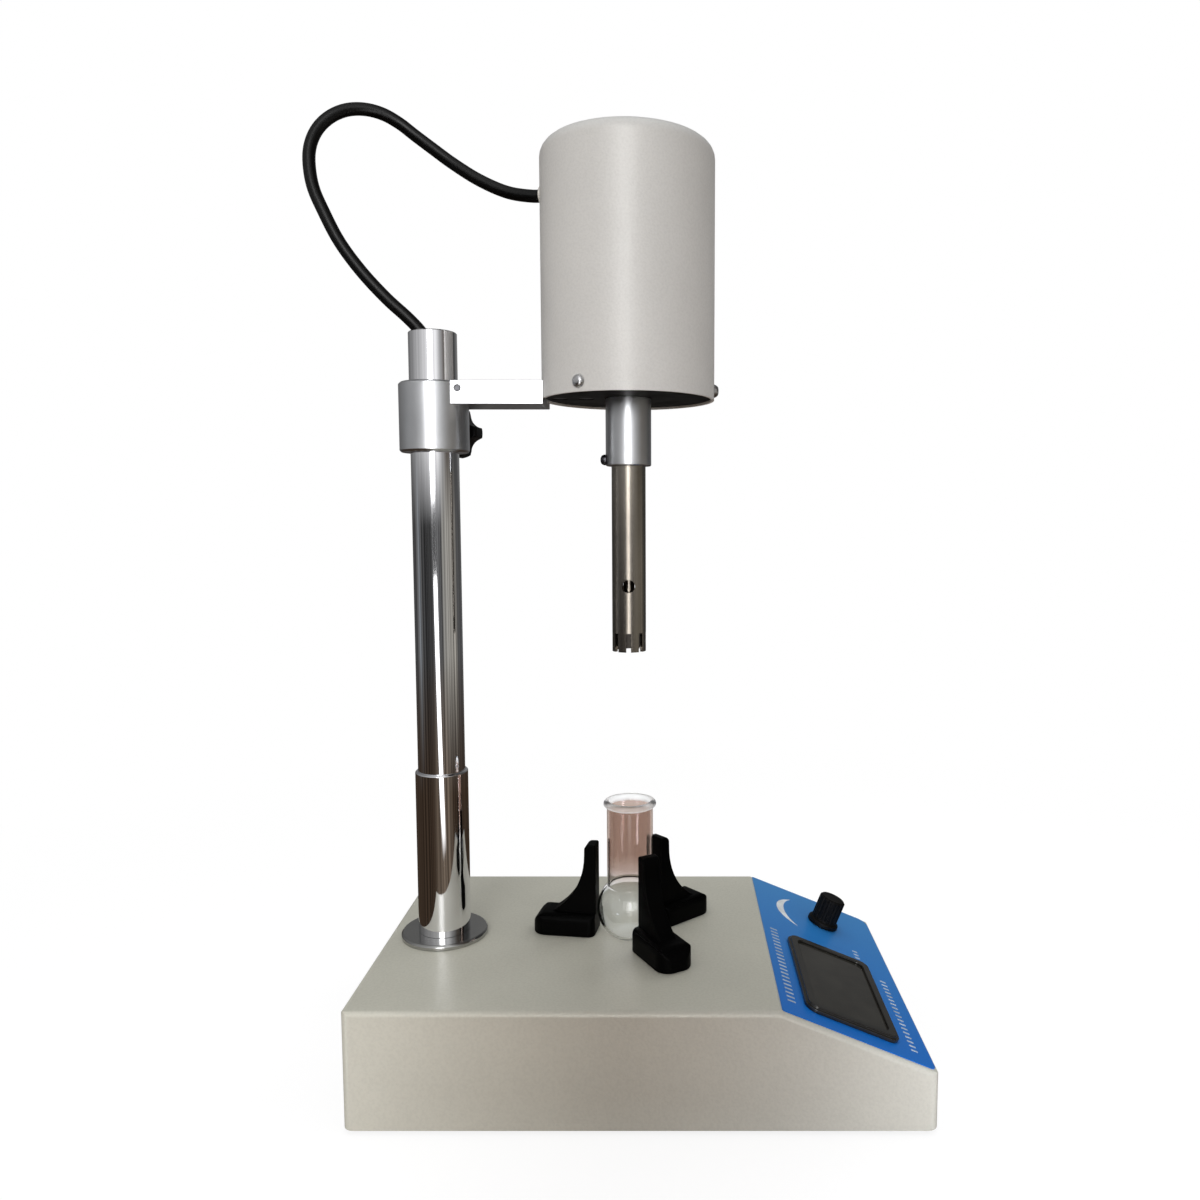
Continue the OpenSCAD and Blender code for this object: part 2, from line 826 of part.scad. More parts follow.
module column_grommet() {
  bush_r = mouth_r - mouth_bush_wall;
  flare = 4;
  color([0.06, 0.06, 0.06])
  at_column() translate([0, 0, column_top - mouth_drop - mouth_bush_h])
    rotate_extrude()
      polygon([
        [bush_r, 0], [mouth_r, 0], [mouth_r, mouth_bush_h], [mouth_r - side_gap, mouth_bush_h],
        [bush_r, mouth_bush_h - flare],
      ]);
}

pad_r = 7;
pad_reach = boss_d / 2 + 3;

module clamp_boss() {
  color([0.78, 0.78, 0.79])
  difference() {
    at_column() {
      translate([0, 0, boss_bottom]) turned_ring(boss_d / 2, column_d / 2, boss_h, chamfer, chamfer);
      difference() {
        radial(clamp_angle, clamp_z) cylinder(r = pad_r, h = pad_reach);
        translate([0, 0, boss_bottom - over]) cylinder(r = boss_d / 2 - column_wall, h = boss_h + 2 * over);
      }
    }
    at_column() translate([0, 0, boss_bottom - over])
      cylinder(r = column_d / 2 + run_gap, h = boss_h + 2 * over);
    at_column() radial(clamp_angle, clamp_z) cylinder(r = clamp_screw_d / 2 + run_gap, h = boss_d);
    at_arm_pin() cylinder(d = arm_pin_d + 2 * fit_gap, h = arm_w + 2 * over, center = true);
  }
}

module at_arm_pin() {
  pin_x = (column_d / 2 + boss_d / 2) / 2;
  translate([column_x + pin_x, 0, arm_top - arm_h / 3]) rotate([90, 0, 0]) children();
}

arm_screw_d = 4;
arm_head_h = 2.4;
arm_screw_edge = 9;
tongue_tip = 14;

module at_arm_screws() {
  for (r = [can_d / 2 - arm_screw_edge, tongue_tip + 2 * arm_screw_d])
    at_motor() translate([-r, 0, plate_bottom]) children();
}

module arm() {
  color([0.86, 0.86, 0.87])
  difference() {
    translate([column_x, -arm_w / 2, arm_bottom]) cube([reach, arm_w, arm_h]);
    at_column() translate([0, 0, arm_bottom - over])
      cylinder(r = boss_d / 2 + fit_gap, h = arm_h + 2 * over);
    // The bar stops at the can, and only its tongue goes on inside
    difference() {
      at_motor() translate([0, 0, arm_bottom - over])
        cylinder(r = can_d / 2 + fit_gap, h = arm_h + 2 * over);
      translate([motor_x - can_d, -tongue_w / 2, tongue_bottom])
        cube([can_d - tongue_tip, tongue_w, tongue_t]);
    }
    at_arm_pin() cylinder(d = arm_pin_d + 2 * fit_gap, h = arm_w + 2 * over, center = true);
    at_arm_screws() cylinder(d = arm_screw_d + 2 * fit_gap, h = arm_top - plate_bottom - chamfer + side_gap);
  }
}

module arm_pin() {
  color([0.35, 0.35, 0.36])
  at_arm_pin() cylinder(d = arm_pin_d, h = arm_w, center = true);
}

module arm_screws() {
  color([0.3, 0.3, 0.31])
  at_arm_screws() {
    translate([0, 0, side_gap]) cylinder(d = 2 * arm_screw_d, h = arm_head_h);
    translate([0, 0, side_gap + arm_head_h - fit_gap])
      cylinder(d = arm_screw_d, h = arm_top - plate_bottom - chamfer - side_gap - arm_head_h);
  }
}

clamp_neck_l = 4;
clamp_cap = 4;
grip_start = pad_reach + clamp_neck_l;
clamp_screw_end = grip_start + clamp_knob_l - clamp_cap;

module clamp_screw() {
  tip = column_d / 2 + side_gap;
  color([0.75, 0.75, 0.76])
  at_column() radial(clamp_angle, clamp_z)
    translate([0, 0, tip]) cylinder(d = clamp_screw_d, h = clamp_screw_end - tip);
}

module clamp_knob() {
  valley_r = 0.27 * clamp_knob_d;
  valley_at = 0.63 * clamp_knob_d;
  color([0.05, 0.05, 0.05])
  at_column() radial(clamp_angle, clamp_z)
    difference() {
      union() {
        translate([0, 0, pad_reach + side_gap]) cylinder(d = knob_neck_d, h = clamp_knob_l);
        translate([0, 0, grip_start])
          difference() {
            turned_ring(clamp_knob_d / 2, 0, clamp_knob_l, chamfer, 2 * chamfer);
            for (i = [0:clamp_lobes - 1])
              rotate(-90 + (i + 0.5) * 360 / clamp_lobes) translate([valley_at, 0, -over])
                cylinder(r = valley_r, h = clamp_knob_l + 2 * over);
          }
      }
      cylinder(r = clamp_screw_d / 2 + fit_gap, h = clamp_screw_end);
    }
}

// Motor head

module motor_plate() {
  color([0.07, 0.07, 0.07])
  difference() {
    at_motor() translate([0, 0, plate_bottom])
      cylinder(r = can_d / 2 - can_wall - side_gap, h = arm_top - plate_bottom);
    translate([motor_x - can_d, -tongue_w / 2 - fit_gap, tongue_bottom])
      cube([can_d - tongue_tip + fit_gap, tongue_w + 2 * fit_gap, tongue_t + over]);
    at_motor() cylinder(r = spigot_r + fit_gap, h = can_top);
    at_can_screws() translate([0, 0, -can_d / 2]) cylinder(d = can_screw_d + 2 * fit_gap, h = can_d);
    at_arm_screws() translate([0, 0, -over]) cylinder(d = arm_screw_d + 2 * fit_gap, h = can_h);
    at_arm_screws() translate([0, 0, -over])
      cylinder(r = arm_screw_d + screw_gap, h = side_gap + arm_head_h + over);
    at_bolts() translate([0, 0, plate_bottom + bolt_web]) cylinder(r = bolt_d / 2 + fit_gap, h = can_h);
  }
}

spigot_r = 10;
can_screw_angles = [0, 120, -120];
can_screw_in = 8;

// Z points outwards from the can's surface
module at_can_screws() {
  at_motor()
    for (angle = can_screw_angles)
      radial(angle, can_screw_z) translate([0, 0, can_d / 2]) children();
}

module at_can_grommet() {
  at_motor() radial(cable_angle, can_bottom + cable_up) translate([0, 0, can_d / 2]) children();
}

module motor_can() {
  r = can_d / 2;
  inner_r = r - can_wall;
  color([0.76, 0.75, 0.72])
  difference() {
    at_motor() rotate_extrude()
      polygon(rounded(
        [
          [0, can_top], [r, can_top], [r, can_bottom], [inner_r, can_bottom],
          [inner_r, can_top - can_wall], [0, can_top - can_wall],
        ],
        [0, can_edge_r, 0, 0, can_edge_r - can_wall, 0]
      ));
    translate([motor_x - can_d, -tongue_w / 2 - side_gap, can_bottom - over])
      cube([can_d, tongue_w + 2 * side_gap, arm_top - can_bottom + side_gap + over]);
    at_can_screws() translate([0, 0, -2 * can_wall])
      cylinder(r = can_screw_d / 2 + screw_gap, h = 3 * can_wall);
    at_can_grommet() translate([0, 0, -2 * can_wall])
      cylinder(r = grommet_neck_r + fit_gap, h = 3 * can_wall);
  }
}

module can_screws() {
  color([0.8, 0.8, 0.81])
  at_can_screws() {
    pan_head(can_head_d, can_head_d / 3);
    translate([0, 0, -can_screw_in]) cylinder(d = can_screw_d, h = can_screw_in + fit_gap);
  }
}

grommet_neck_r = cable_d / 2 + 1.2;
grommet_flange_r = cable_d / 2 + 2.2;
grommet_flange_t = 3;

module can_grommet() {
  color([0.9, 0.9, 0.88])
  at_can_grommet()
    difference() {
      union() {
        turned_ring(grommet_flange_r, 0, grommet_flange_t, 0, chamfer);
        translate([0, 0, -2 * can_wall]) cylinder(r = grommet_neck_r, h = 2 * can_wall + fit_gap);
      }
      translate([0, 0, -can_d / 4]) cylinder(r = cable_d / 2 + screw_gap, h = can_d / 2);
    }
}

module at_bolts() {
  at_motor()
    for (turn = [0, 180])
      rotate(bolt_angle + turn) translate([bolt_r, 0, 0]) children();
}

bell_r = field_d / 2;
bell_in_r = bell_r - bell_wall;
hub_r = bearing_d / 2 + 3;

module lower_end_bell() {
  vents = 4;
  vent_w = 30;
  vent_h = 10;
  color([0.65, 0.66, 0.68])
  difference() {
    union() {
      at_motor() translate([0, 0, arm_top]) {
        cylinder(r = bell_r, h = bell_floor);
        tube(bell_r, bell_in_r, bell_seat);
        cylinder(r = hub_r, h = bell_floor + bearing_w);
      }
      at_bolts() translate([0, 0, arm_top]) cylinder(r = bell_ear_r, h = bell_ear_r * 2);
    }
    at_motor() cylinder(r = shaft_d / 2 + air_gap, h = can_top);
    at_motor() translate([0, 0, lower_bearing_z])
      cylinder(r = bearing_d / 2 + fit_gap, h = bearing_w + over);
    at_bolts() cylinder(r = bolt_d / 2 + fit_gap, h = can_top);
    at_motor()
      for (i = [0:vents - 1])
        rotate(i * 360 / vents) translate([hub_r + air_gap, -vent_w / 2, fan_z])
          cube([bell_r, vent_w, vent_h]);
  }
}

module upper_end_bell() {
  pocket_h = brush_h + 2 * holder_wall + 2 * fit_gap;
  pocket_w = brush_w + 2 * holder_wall + 2 * fit_gap;
  color([0.65, 0.66, 0.68])
  difference() {
    union() {
      at_motor() translate([0, 0, upper_seat])
        tube(bell_r, bell_in_r, upper_disc_z - upper_seat + bell_floor);
      at_motor() translate([0, 0, upper_disc_z]) cylinder(r = bell_r, h = bell_floor);
      at_motor() translate([0, 0, upper_disc_z]) cylinder(r = hub_r, h = upper_disc_t);
      at_bolts() translate([0, 0, upper_disc_z + bell_floor - 2 * bell_ear_r])
        cylinder(r = bell_ear_r, h = 2 * bell_ear_r);
    }
    at_motor() translate([0, 0, upper_disc_z - over])
      cylinder(r = bearing_d / 2 + fit_gap, h = over + upper_bearing_z - upper_disc_z + bearing_w);
    at_bolts() cylinder(r = bolt_d / 2 + fit_gap, h = can_top);
    at_brushes() translate([0, 0, can_d / 4]) cube([pocket_h, pocket_w, can_d / 2], center = true);
  }
}

module motor_bolts() {
  head_z = upper_disc_z + bell_floor;
  low = plate_bottom + bolt_web + side_gap;
  color([0.7, 0.7, 0.72])
  at_bolts() {
    translate([0, 0, head_z]) pan_head(2 * bolt_d, bolt_head_h);
    translate([0, 0, low]) cylinder(d = bolt_d, h = head_z - low + fit_gap);
  }
}

pole_w = 24;
pole_tip_w = 32;
yoke_t = 6;
tip_t = 4;
field_bore_r = armature_d / 2 + air_gap;

module field_stack() {
  yoke_in = field_d / 2 - yoke_t;
  color([0.4, 0.4, 0.42])
  at_motor() translate([0, 0, field_z])
    difference() {
      union() {
        tube(field_d / 2, yoke_in, field_h);
        intersection() {
          cylinder(r = yoke_in + over, h = field_h);
          translate([-field_d / 2, -pole_w / 2, 0]) cube([field_d, pole_w, field_h]);
        }
        intersection() {
          cylinder(r = field_bore_r + tip_t, h = field_h);
          translate([-field_d / 2, -pole_tip_w / 2, 0]) cube([field_d, pole_tip_w, field_h]);
        }
      }
      translate([0, 0, -over]) cylinder(r = field_bore_r, h = field_h + 2 * over);
    }
}

module field_coils() {
  coil_in = field_bore_r + tip_t + side_gap;
  coil_out = field_d / 2 - yoke_t - side_gap;
  coil_side = 7;
  coil_w = pole_w + 2 * coil_side;
  color([0.75, 0.4, 0.2])
  at_motor() translate([0, 0, field_z - coil_over])
    for (turn = [0, 180])
      rotate(turn)
        difference() {
          intersection() {
            tube(coil_out, coil_in, field_h + 2 * coil_over);
            translate([0, -coil_w / 2, 0]) cube([field_d, coil_w, field_h + 2 * coil_over]);
          }
          translate([0, -pole_w / 2 - fit_gap, coil_over - fit_gap])
            cube([field_d, pole_w + 2 * fit_gap, field_h + 2 * fit_gap]);
        }
}

module motor_bearings() {
  color([0.8, 0.8, 0.82])
  at_motor()
    for (z = [lower_bearing_z, upper_bearing_z])
      translate([0, 0, z]) tube(bearing_d / 2, shaft_d / 2 + run_gap, bearing_w);
}

module at_brushes() {
  at_motor()
    for (angle = [90, -90])
      radial(angle, brush_z) children();
}

brush_tip = commutator_d / 2 + side_gap;

module brush_holders() {
  bare_brush = 3;
  start = brush_tip + bare_brush;
  color([0.8, 0.65, 0.3])
  at_brushes() translate([0, 0, start])
    difference() {
      translate([-brush_h / 2 - holder_wall, -brush_w / 2 - holder_wall, 0])
        cube([brush_h + 2 * holder_wall, brush_w + 2 * holder_wall, bell_r - start]);
      translate([-brush_h / 2 - fit_gap, -brush_w / 2 - fit_gap, -over])
        cube([brush_h + 2 * fit_gap, brush_w + 2 * fit_gap, bell_r - start]);
    }
}

module carbon_brushes() {
  color([0.2, 0.2, 0.2])
  at_brushes() translate([-brush_h / 2, -brush_w / 2, brush_tip]) cube([brush_h, brush_w, brush_l]);
}

// Rotor

module motor_shaft() {
  color([0.8, 0.8, 0.81])
  at_motor() translate([0, 0, shaft_bottom]) cylinder(d = shaft_d, h = shaft_top - shaft_bottom);
}

module armature() {
  slots = 12;
  groove_w = 2;
  groove_depth = 5;
  winding_h = 6;
  winding_in = 3;
  color([0.5, 0.45, 0.4])
  at_motor() translate([0, 0, field_z])
    difference() {
      union() {
        difference() {
          cylinder(d = armature_d, h = field_h);
          for (i = [0:slots - 1])
            rotate(i * 360 / slots) translate([armature_d / 2 - groove_depth, -groove_w / 2, -over])
              cube([armature_d, groove_w, field_h + 2 * over]);
        }
        translate([0, 0, -winding_h])
          turned_ring(armature_d / 2 - winding_in, 0, field_h + 2 * winding_h, winding_in, winding_in);
      }
      translate([0, 0, -field_z]) cylinder(r = shaft_d / 2 + fit_gap, h = can_top);
    }
}

module commutator() {
  color([0.8, 0.5, 0.3])
  at_motor() translate([0, 0, brush_z - commutator_h / 2])
    tube(commutator_d / 2, shaft_d / 2 + fit_gap, commutator_h);
}

module cooling_fan() {
  hub_wall = 4;
  hub_d = shaft_d + 2 * hub_wall;
  disc_t = 1.5;
  blade_h = 6;
  blade_offset = 3;
  color([0.15, 0.15, 0.16])
  at_motor() translate([0, 0, fan_z])
    difference() {
      union() {
        cylinder(d = fan_d, h = disc_t);
        cylinder(d = hub_d, h = disc_t + blade_h);
        intersection() {
          cylinder(d = fan_d, h = disc_t + blade_h);
          for (i = [0:fan_blades - 1])
            rotate(i * 360 / fan_blades) translate([hub_d / 2 - over, blade_offset, 0])
              cube([fan_d, disc_t, disc_t + blade_h]);
        }
      }
      translate([0, 0, -over]) cylinder(r = shaft_d / 2 + fit_gap, h = disc_t + blade_h + 2 * over);
    }
}

module drive_coupling() {
  color([0.85, 0.7, 0.35])
  at_motor()
    difference() {
      translate([0, 0, shaft_bottom - coupling_reach])
        turned_ring(coupling_d / 2, 0, 2 * coupling_reach, chamfer, chamfer);
      translate([0, 0, shaft_bottom]) cylinder(r = shaft_d / 2 + fit_gap, h = coupling_reach + over);
      translate([0, 0, shaft_bottom - coupling_reach - over])
        cylinder(r = drive_d / 2 + fit_gap, h = coupling_reach + 2 * over);
    }
}

knife_z = tool_end + 2;
knife_h = 12;
knife_floor = 4;

module drive_shaft() {
  low = knife_z + knife_floor;
  color([0.8, 0.8, 0.8])
  at_motor() translate([0, 0, low]) cylinder(d = drive_d, h = shaft_bottom - low);
}

module rotor_knife() {
  blade_t = 3;
  hub_wall = 1.5;
  color([0.75, 0.74, 0.72])
  at_motor() translate([0, 0, knife_z])
    difference() {
      intersection() {
        cylinder(r = tool_bore_r - air_gap, h = knife_h);
        union() {
          cylinder(d = drive_d + 2 * hub_wall, h = knife_h);
          for (turn = [0, 90])
            rotate(turn) translate([-tool_d / 2, -blade_t / 2, 0]) cube([tool_d, blade_t, knife_h]);
        }
      }
      translate([0, 0, knife_floor]) cylinder(r = drive_d / 2 + fit_gap, h = knife_h);
    }
}

// Tool

collar_screw_angle = 190;
collar_screw_up = 3.2;
collar_screw_d = 2.5;

module tool_collar() {
  color([0.75, 0.76, 0.77])
  at_motor()
    difference() {
      union() {
        translate([0, 0, collar_bottom]) turned_ring(collar_d / 2, 0, collar_h, chamfer / 2, 0);
        cylinder_between(spigot_r, plate_bottom - over, arm_top);
      }
      cylinder_between(tool_d / 2 + fit_gap, collar_bottom - over, tool_top);
      cylinder_between(coupling_d / 2 + air_gap, collar_bottom, arm_top + over);
      radial(collar_screw_angle, collar_bottom + collar_screw_up)
        cylinder(r = collar_screw_d / 2 + fit_gap, h = collar_d);
    }
}

module cylinder_between(r, low, high) { translate([0, 0, low]) cylinder(r = r, h = high - low); }

module collar_screw() {
  head_d = 5.6;
  tip = tool_d / 2 + screw_gap;
  color([0.2, 0.2, 0.2])
  at_motor() radial(collar_screw_angle, collar_bottom + collar_screw_up) {
    translate([0, 0, collar_d / 2]) pan_head(head_d, head_d / 2);
    translate([0, 0, tip]) cylinder(d = collar_screw_d, h = collar_d / 2 - tip + fit_gap);
  }
}

module stator_tube() {
  color([0.6, 0.55, 0.48])
  at_motor() translate([0, 0, tool_end])
    difference() {
      tube(tool_d / 2, tool_bore_r, tool_out + tool_in);
      for (i = [0:tool_slots - 1])
        rotate(-90 + i * 360 / tool_slots) translate([0, -slot_w / 2, -over])
          cube([tool_d, slot_w, slot_h + over]);
      translate([0, 0, cross_hole_up]) rotate([90, 0, 0])
        cylinder(d = cross_hole_d, h = 2 * tool_d, center = true);
    }
}

module tool_bushes() {
  above_knife = 5;
  lower_z = knife_z + knife_h + above_knife;
  upper_z = collar_bottom - 2 * bush_h;
  color([0.92, 0.92, 0.9])
  at_motor()
    for (z = [lower_z, upper_z])
      translate([0, 0, z]) tube(tool_bore_r - fit_gap, drive_d / 2 + run_gap, bush_h);
}

// Motor cable

// Point at share t of the smooth curve between route points i and i + 1
function on_route(i, t) =
  let (
    last = len(cable_route) - 1,
    a = cable_route[max(i - 1, 0)],
    b = cable_route[i],
    c = cable_route[min(i + 1, last)],
    d = cable_route[min(i + 2, last)]
  ) (2 * b + (c - a) * t + (2 * a - 5 * b + 4 * c - d) * t ^ 2 + (3 * b - a - 3 * c + d) * t ^ 3) / 2;

module motor_cable() {
  steps = 2;
  legs = len(cable_route) - 1;
  path = [for (k = [0:legs * steps]) on_route(floor(k / steps), (k % steps) / steps)];
  n = len(path);
  rings = [
    for (k = [0:n - 1])
      let (
        along = unit(path[min(k + 1, n - 1)] - path[max(k - 1, 0)]),
        side = unit(cross(along, [0, 1, 0])),
        up = cross(side, along)
      )
      for (j = [0:cable_sides - 1])
        path[k] + cable_d / 2 * (cos(j * 360 / cable_sides) * side + sin(j * 360 / cable_sides) * up)
  ];
  walls = [
    for (k = [0:n - 2], j = [0:cable_sides - 1])
      let (
        a = k * cable_sides + j,
        b = k * cable_sides + (j + 1) % cable_sides
      )
      each [[a, b, b + cable_sides], [a, b + cable_sides, a + cable_sides]]
  ];
  start_cap = [for (j = [cable_sides - 1:-1:0]) j];
  end_cap = [for (j = [0:cable_sides - 1]) (n - 1) * cable_sides + j];
  color([0.04, 0.04, 0.04])
  polyhedron(rings, concat(walls, [start_cap, end_cap]), convexity = 6);
}

// Vessel and jaws

module flask() {
  bulb_r = bulb_d / 2;
  neck_r = neck_d / 2;
  centre = [0, bulb_up];
  inner_r = bulb_r - glass;
  bore_r = neck_r - glass;
  floor_z = glass + side_gap;
  low_out = asin(-bulb_up / bulb_r);
  high_out = acos(neck_r / bulb_r);
  low_in = asin((floor_z - bulb_up) / inner_r);
  high_in = acos(bore_r / inner_r);
  steps = 3 * arc_steps;
  color([0.85, 0.9, 0.92, 0.5])
  at_flask() rotate_extrude()
    polygon(concat(
      [[0, 0]],
      arc(centre, bulb_r, low_out, high_out, steps),
      arc([neck_r, flask_h - bead_r], bead_r, -90, 90),
      [[bore_r, flask_h]],
      arc(centre, inner_r, high_in, low_in, steps),
      [[0, floor_z]]
    ));
}

// One jaw in its own frame: X outwards from the flask's axis, Z = 0 on the base
module jaw() {
  toe_l = 9;
  sweep_r = 37;
  tip_r = 1;
  inner = bulb_d / 2 + jaw_gap;
  outer = inner + jaw_l;
  shoulder = outer - toe_l;
  tip = [inner + finger_t, jaw_h - finger_t];
  toe = [shoulder, jaw_foot_t - chamfer];
  chord = toe - tip;
  mid = (tip + toe) / 2;
  rise = sqrt(sweep_r ^ 2 - (norm(chord) / 2) ^ 2);
  sweep_c = mid + rise * unit([-chord.y, chord.x]);
  from = tip - sweep_c;
  to = toe - sweep_c;
  start = atan2(from.y, from.x);
  turn = atan2(cross(from, to), from * to);
  difference() {
    union() {
      intersection() {
        linear_extrude(jaw_foot_t)
          polygon(rounded(
            [[inner, -jaw_w / 2], [outer, -jaw_w / 2], [outer, jaw_w / 2], [inner, jaw_w / 2]],
            [jaw_edge_r, jaw_end_r, jaw_end_r, jaw_edge_r]
          ));
        rotate([90, 0, 90]) linear_extrude(outer)
          polygon(rounded(
            [[-jaw_w / 2, 0], [-jaw_w / 2, jaw_foot_t], [jaw_w / 2, jaw_foot_t], [jaw_w / 2, 0]],
            [0, jaw_edge_r, jaw_edge_r, 0]
          ));
        translate([0, jaw_w / 2, 0]) rotate([90, 0, 0]) linear_extrude(jaw_w)
          polygon(rounded(
            [[inner, 0], [inner, jaw_foot_t], [outer, jaw_foot_t], [outer, 0]],
            [0, 0, 2 * jaw_edge_r, 0]
          ));
      }
      translate([0, finger_w / 2, 0]) rotate([90, 0, 0]) linear_extrude(finger_w)
        polygon(concat(
          [[inner, chamfer]],
          arc([inner + tip_r, jaw_h - tip_r], tip_r, 180, 90),
          arc([inner + finger_t / 2, jaw_h - finger_t / 2], finger_t / 2, 75, 15),
          arc(sweep_c, sweep_r, start, start + turn, 2 * arc_steps),
          [[shoulder, chamfer]]
        ));
    }
    translate([jaw_screw_r, 0, -over])
      cylinder(r = jaw_screw_d / 2 + fit_gap, h = jaw_screw_in + over + side_gap);
  }
}

module at_jaw(i) { at_flask() rotate(jaw_angles[i]) children(); }

module jaw_screw() {
  translate([jaw_screw_r, 0, -sheet]) mirror([0, 0, 1]) pan_head(2.4 * jaw_screw_d, jaw_head_h);
  translate([jaw_screw_r, 0, -sheet - fit_gap]) cylinder(d = jaw_screw_d, h = sheet + jaw_screw_in + fit_gap);
}

module jaw_left() { color([0.05, 0.05, 0.05]) at_jaw(0) jaw(); }
module jaw_front() { color([0.05, 0.05, 0.05]) at_jaw(1) jaw(); }
module jaw_rear() { color([0.05, 0.05, 0.05]) at_jaw(2) jaw(); }
module jaw_left_screw() { color([0.7, 0.7, 0.72]) at_jaw(0) jaw_screw(); }
module jaw_front_screw() { color([0.7, 0.7, 0.72]) at_jaw(1) jaw_screw(); }
module jaw_rear_screw() { color([0.7, 0.7, 0.72]) at_jaw(2) jaw_screw(); }

base_shell();
base_plate();
rubber_feet();
foot_screws();
column_flange();
column_tube();
column_sleeve();
column_nut();
panel_label();
display_bezel();
display_window();
display_board();
speed_pot();
control_board();
board_standoffs();
power_transformer();
mains_inlet();
inlet_pins();
switch_housing();
power_rocker();
speed_knob();
pot_shaft();
column_grommet();
clamp_boss();
arm();
arm_pin();
arm_screws();
motor_plate();
motor_can();
can_screws();
can_grommet();
lower_end_bell();
upper_end_bell();
motor_bolts();
field_stack();
field_coils();
motor_bearings();
brush_holders();
carbon_brushes();
tool_collar();
collar_screw();
stator_tube();
tool_bushes();
motor_cable();
motor_shaft();
armature();
commutator();
cooling_fan();
drive_coupling();
drive_shaft();
rotor_knife();
clamp_knob();
clamp_screw();
jaw_left();
jaw_front();
jaw_rear();
jaw_left_screw();
jaw_front_screw();
jaw_rear_screw();
flask();
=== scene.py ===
# %% [markdown]
# A laboratory homogenizer, dressed in Blender
#
# The CAD model already gives every piece its shape and place. This lesson loads it as a fixed frame
# and gives it looks: finishes made from shader nodes, broken edges, a hanging cable, a glass flask,
# printed marks and real screw heads. Nothing is fitted by eye, because Blender and the CAD share one
# frame in metres.

# %% Load the frame
import json
import math

import bmesh
import bpy
from mathutils import Matrix, Vector

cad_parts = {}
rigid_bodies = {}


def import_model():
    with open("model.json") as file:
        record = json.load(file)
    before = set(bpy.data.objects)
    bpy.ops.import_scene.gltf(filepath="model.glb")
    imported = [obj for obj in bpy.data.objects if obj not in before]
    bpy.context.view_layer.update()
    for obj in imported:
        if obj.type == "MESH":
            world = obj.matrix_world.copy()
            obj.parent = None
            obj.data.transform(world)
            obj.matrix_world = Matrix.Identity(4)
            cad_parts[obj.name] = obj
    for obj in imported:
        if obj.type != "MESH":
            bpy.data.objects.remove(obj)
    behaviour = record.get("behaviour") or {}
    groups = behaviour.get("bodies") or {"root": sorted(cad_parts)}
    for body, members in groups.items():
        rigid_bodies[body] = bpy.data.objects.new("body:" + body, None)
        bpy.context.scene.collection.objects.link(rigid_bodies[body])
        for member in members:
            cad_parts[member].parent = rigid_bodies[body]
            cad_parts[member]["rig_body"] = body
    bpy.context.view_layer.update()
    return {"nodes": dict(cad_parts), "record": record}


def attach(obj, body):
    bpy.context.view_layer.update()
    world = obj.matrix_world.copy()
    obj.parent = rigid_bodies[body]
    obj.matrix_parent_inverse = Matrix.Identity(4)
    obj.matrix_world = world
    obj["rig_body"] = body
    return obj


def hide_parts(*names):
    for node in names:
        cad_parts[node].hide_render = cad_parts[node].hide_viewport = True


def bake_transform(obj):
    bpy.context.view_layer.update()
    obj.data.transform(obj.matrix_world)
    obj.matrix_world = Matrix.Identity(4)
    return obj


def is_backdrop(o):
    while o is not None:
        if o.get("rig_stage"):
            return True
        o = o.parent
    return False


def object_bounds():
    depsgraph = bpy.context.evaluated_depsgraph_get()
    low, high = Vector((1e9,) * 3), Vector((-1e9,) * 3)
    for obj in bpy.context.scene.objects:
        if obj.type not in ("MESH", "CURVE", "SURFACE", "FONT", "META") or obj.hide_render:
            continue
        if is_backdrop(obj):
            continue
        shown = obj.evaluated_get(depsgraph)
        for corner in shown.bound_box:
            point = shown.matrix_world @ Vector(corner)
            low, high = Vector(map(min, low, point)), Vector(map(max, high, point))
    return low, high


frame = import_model()
for placeholder in list(bpy.data.materials):
    bpy.data.materials.remove(placeholder)
scene = bpy.context.scene
scene.view_settings.view_transform = "Standard"
MM = 0.001

# %% [markdown]
# The camera stands where the photographer stood: close to the bench, just above the middle of the
# stand, looking down by five degrees. Being that close gives the base its strong perspective. The
# picture was cut out off centre, and a small sideways shift of the lens does the same here.

# %% Camera
SENSOR_WIDTH = 36
FOCAL_LENGTH = 28.75
SIDE_SHIFT = -0.0577
CAMERA_PLACE = (0.01347, -0.51008, 0.28949)
CAMERA_PITCH = 84.92
camera_data = bpy.data.cameras.new("bench_camera")
camera_data.sensor_width = SENSOR_WIDTH
camera_data.lens = FOCAL_LENGTH
camera_data.shift_x = SIDE_SHIFT
camera = bpy.data.objects.new("bench_camera", camera_data)
camera.location = CAMERA_PLACE
camera.rotation_euler = (math.radians(CAMERA_PITCH), 0, 0)
scene.collection.objects.link(camera)
scene.camera = camera
print("camera at", tuple(camera.location))

# %% [markdown]
# Every finish is a small tree of shader nodes. A few helpers keep the trees short to read: the first
# adds a node and fills in its sockets by name, and the second adds a colour ramp. Paint colours are
# written the way a chart gives them, from 0 to 255, and turned to the linear values that the shader
# wants. The other finishes give linear values directly.


# %% Helpers for finishes
def node(tree, kind, out=0, **settings):
    """Adds a node. A setting is a property, an input's name, or i and an input's number."""
    made = tree.nodes.new(kind if kind.startswith(("Geometry", "Function")) else "ShaderNode" + kind)
    for key, value in settings.items():
        if key in made.bl_rna.properties:
            setattr(made, key, value)
            continue
        numbered = key[0] == "i" and key[1:].isdigit()
        socket = made.inputs[int(key[1:]) if numbered else key.replace("_", " ")]
        if isinstance(value, bpy.types.NodeSocket):
            tree.links.new(value, socket)
        else:
            socket.default_value = value
    return made.outputs[out]


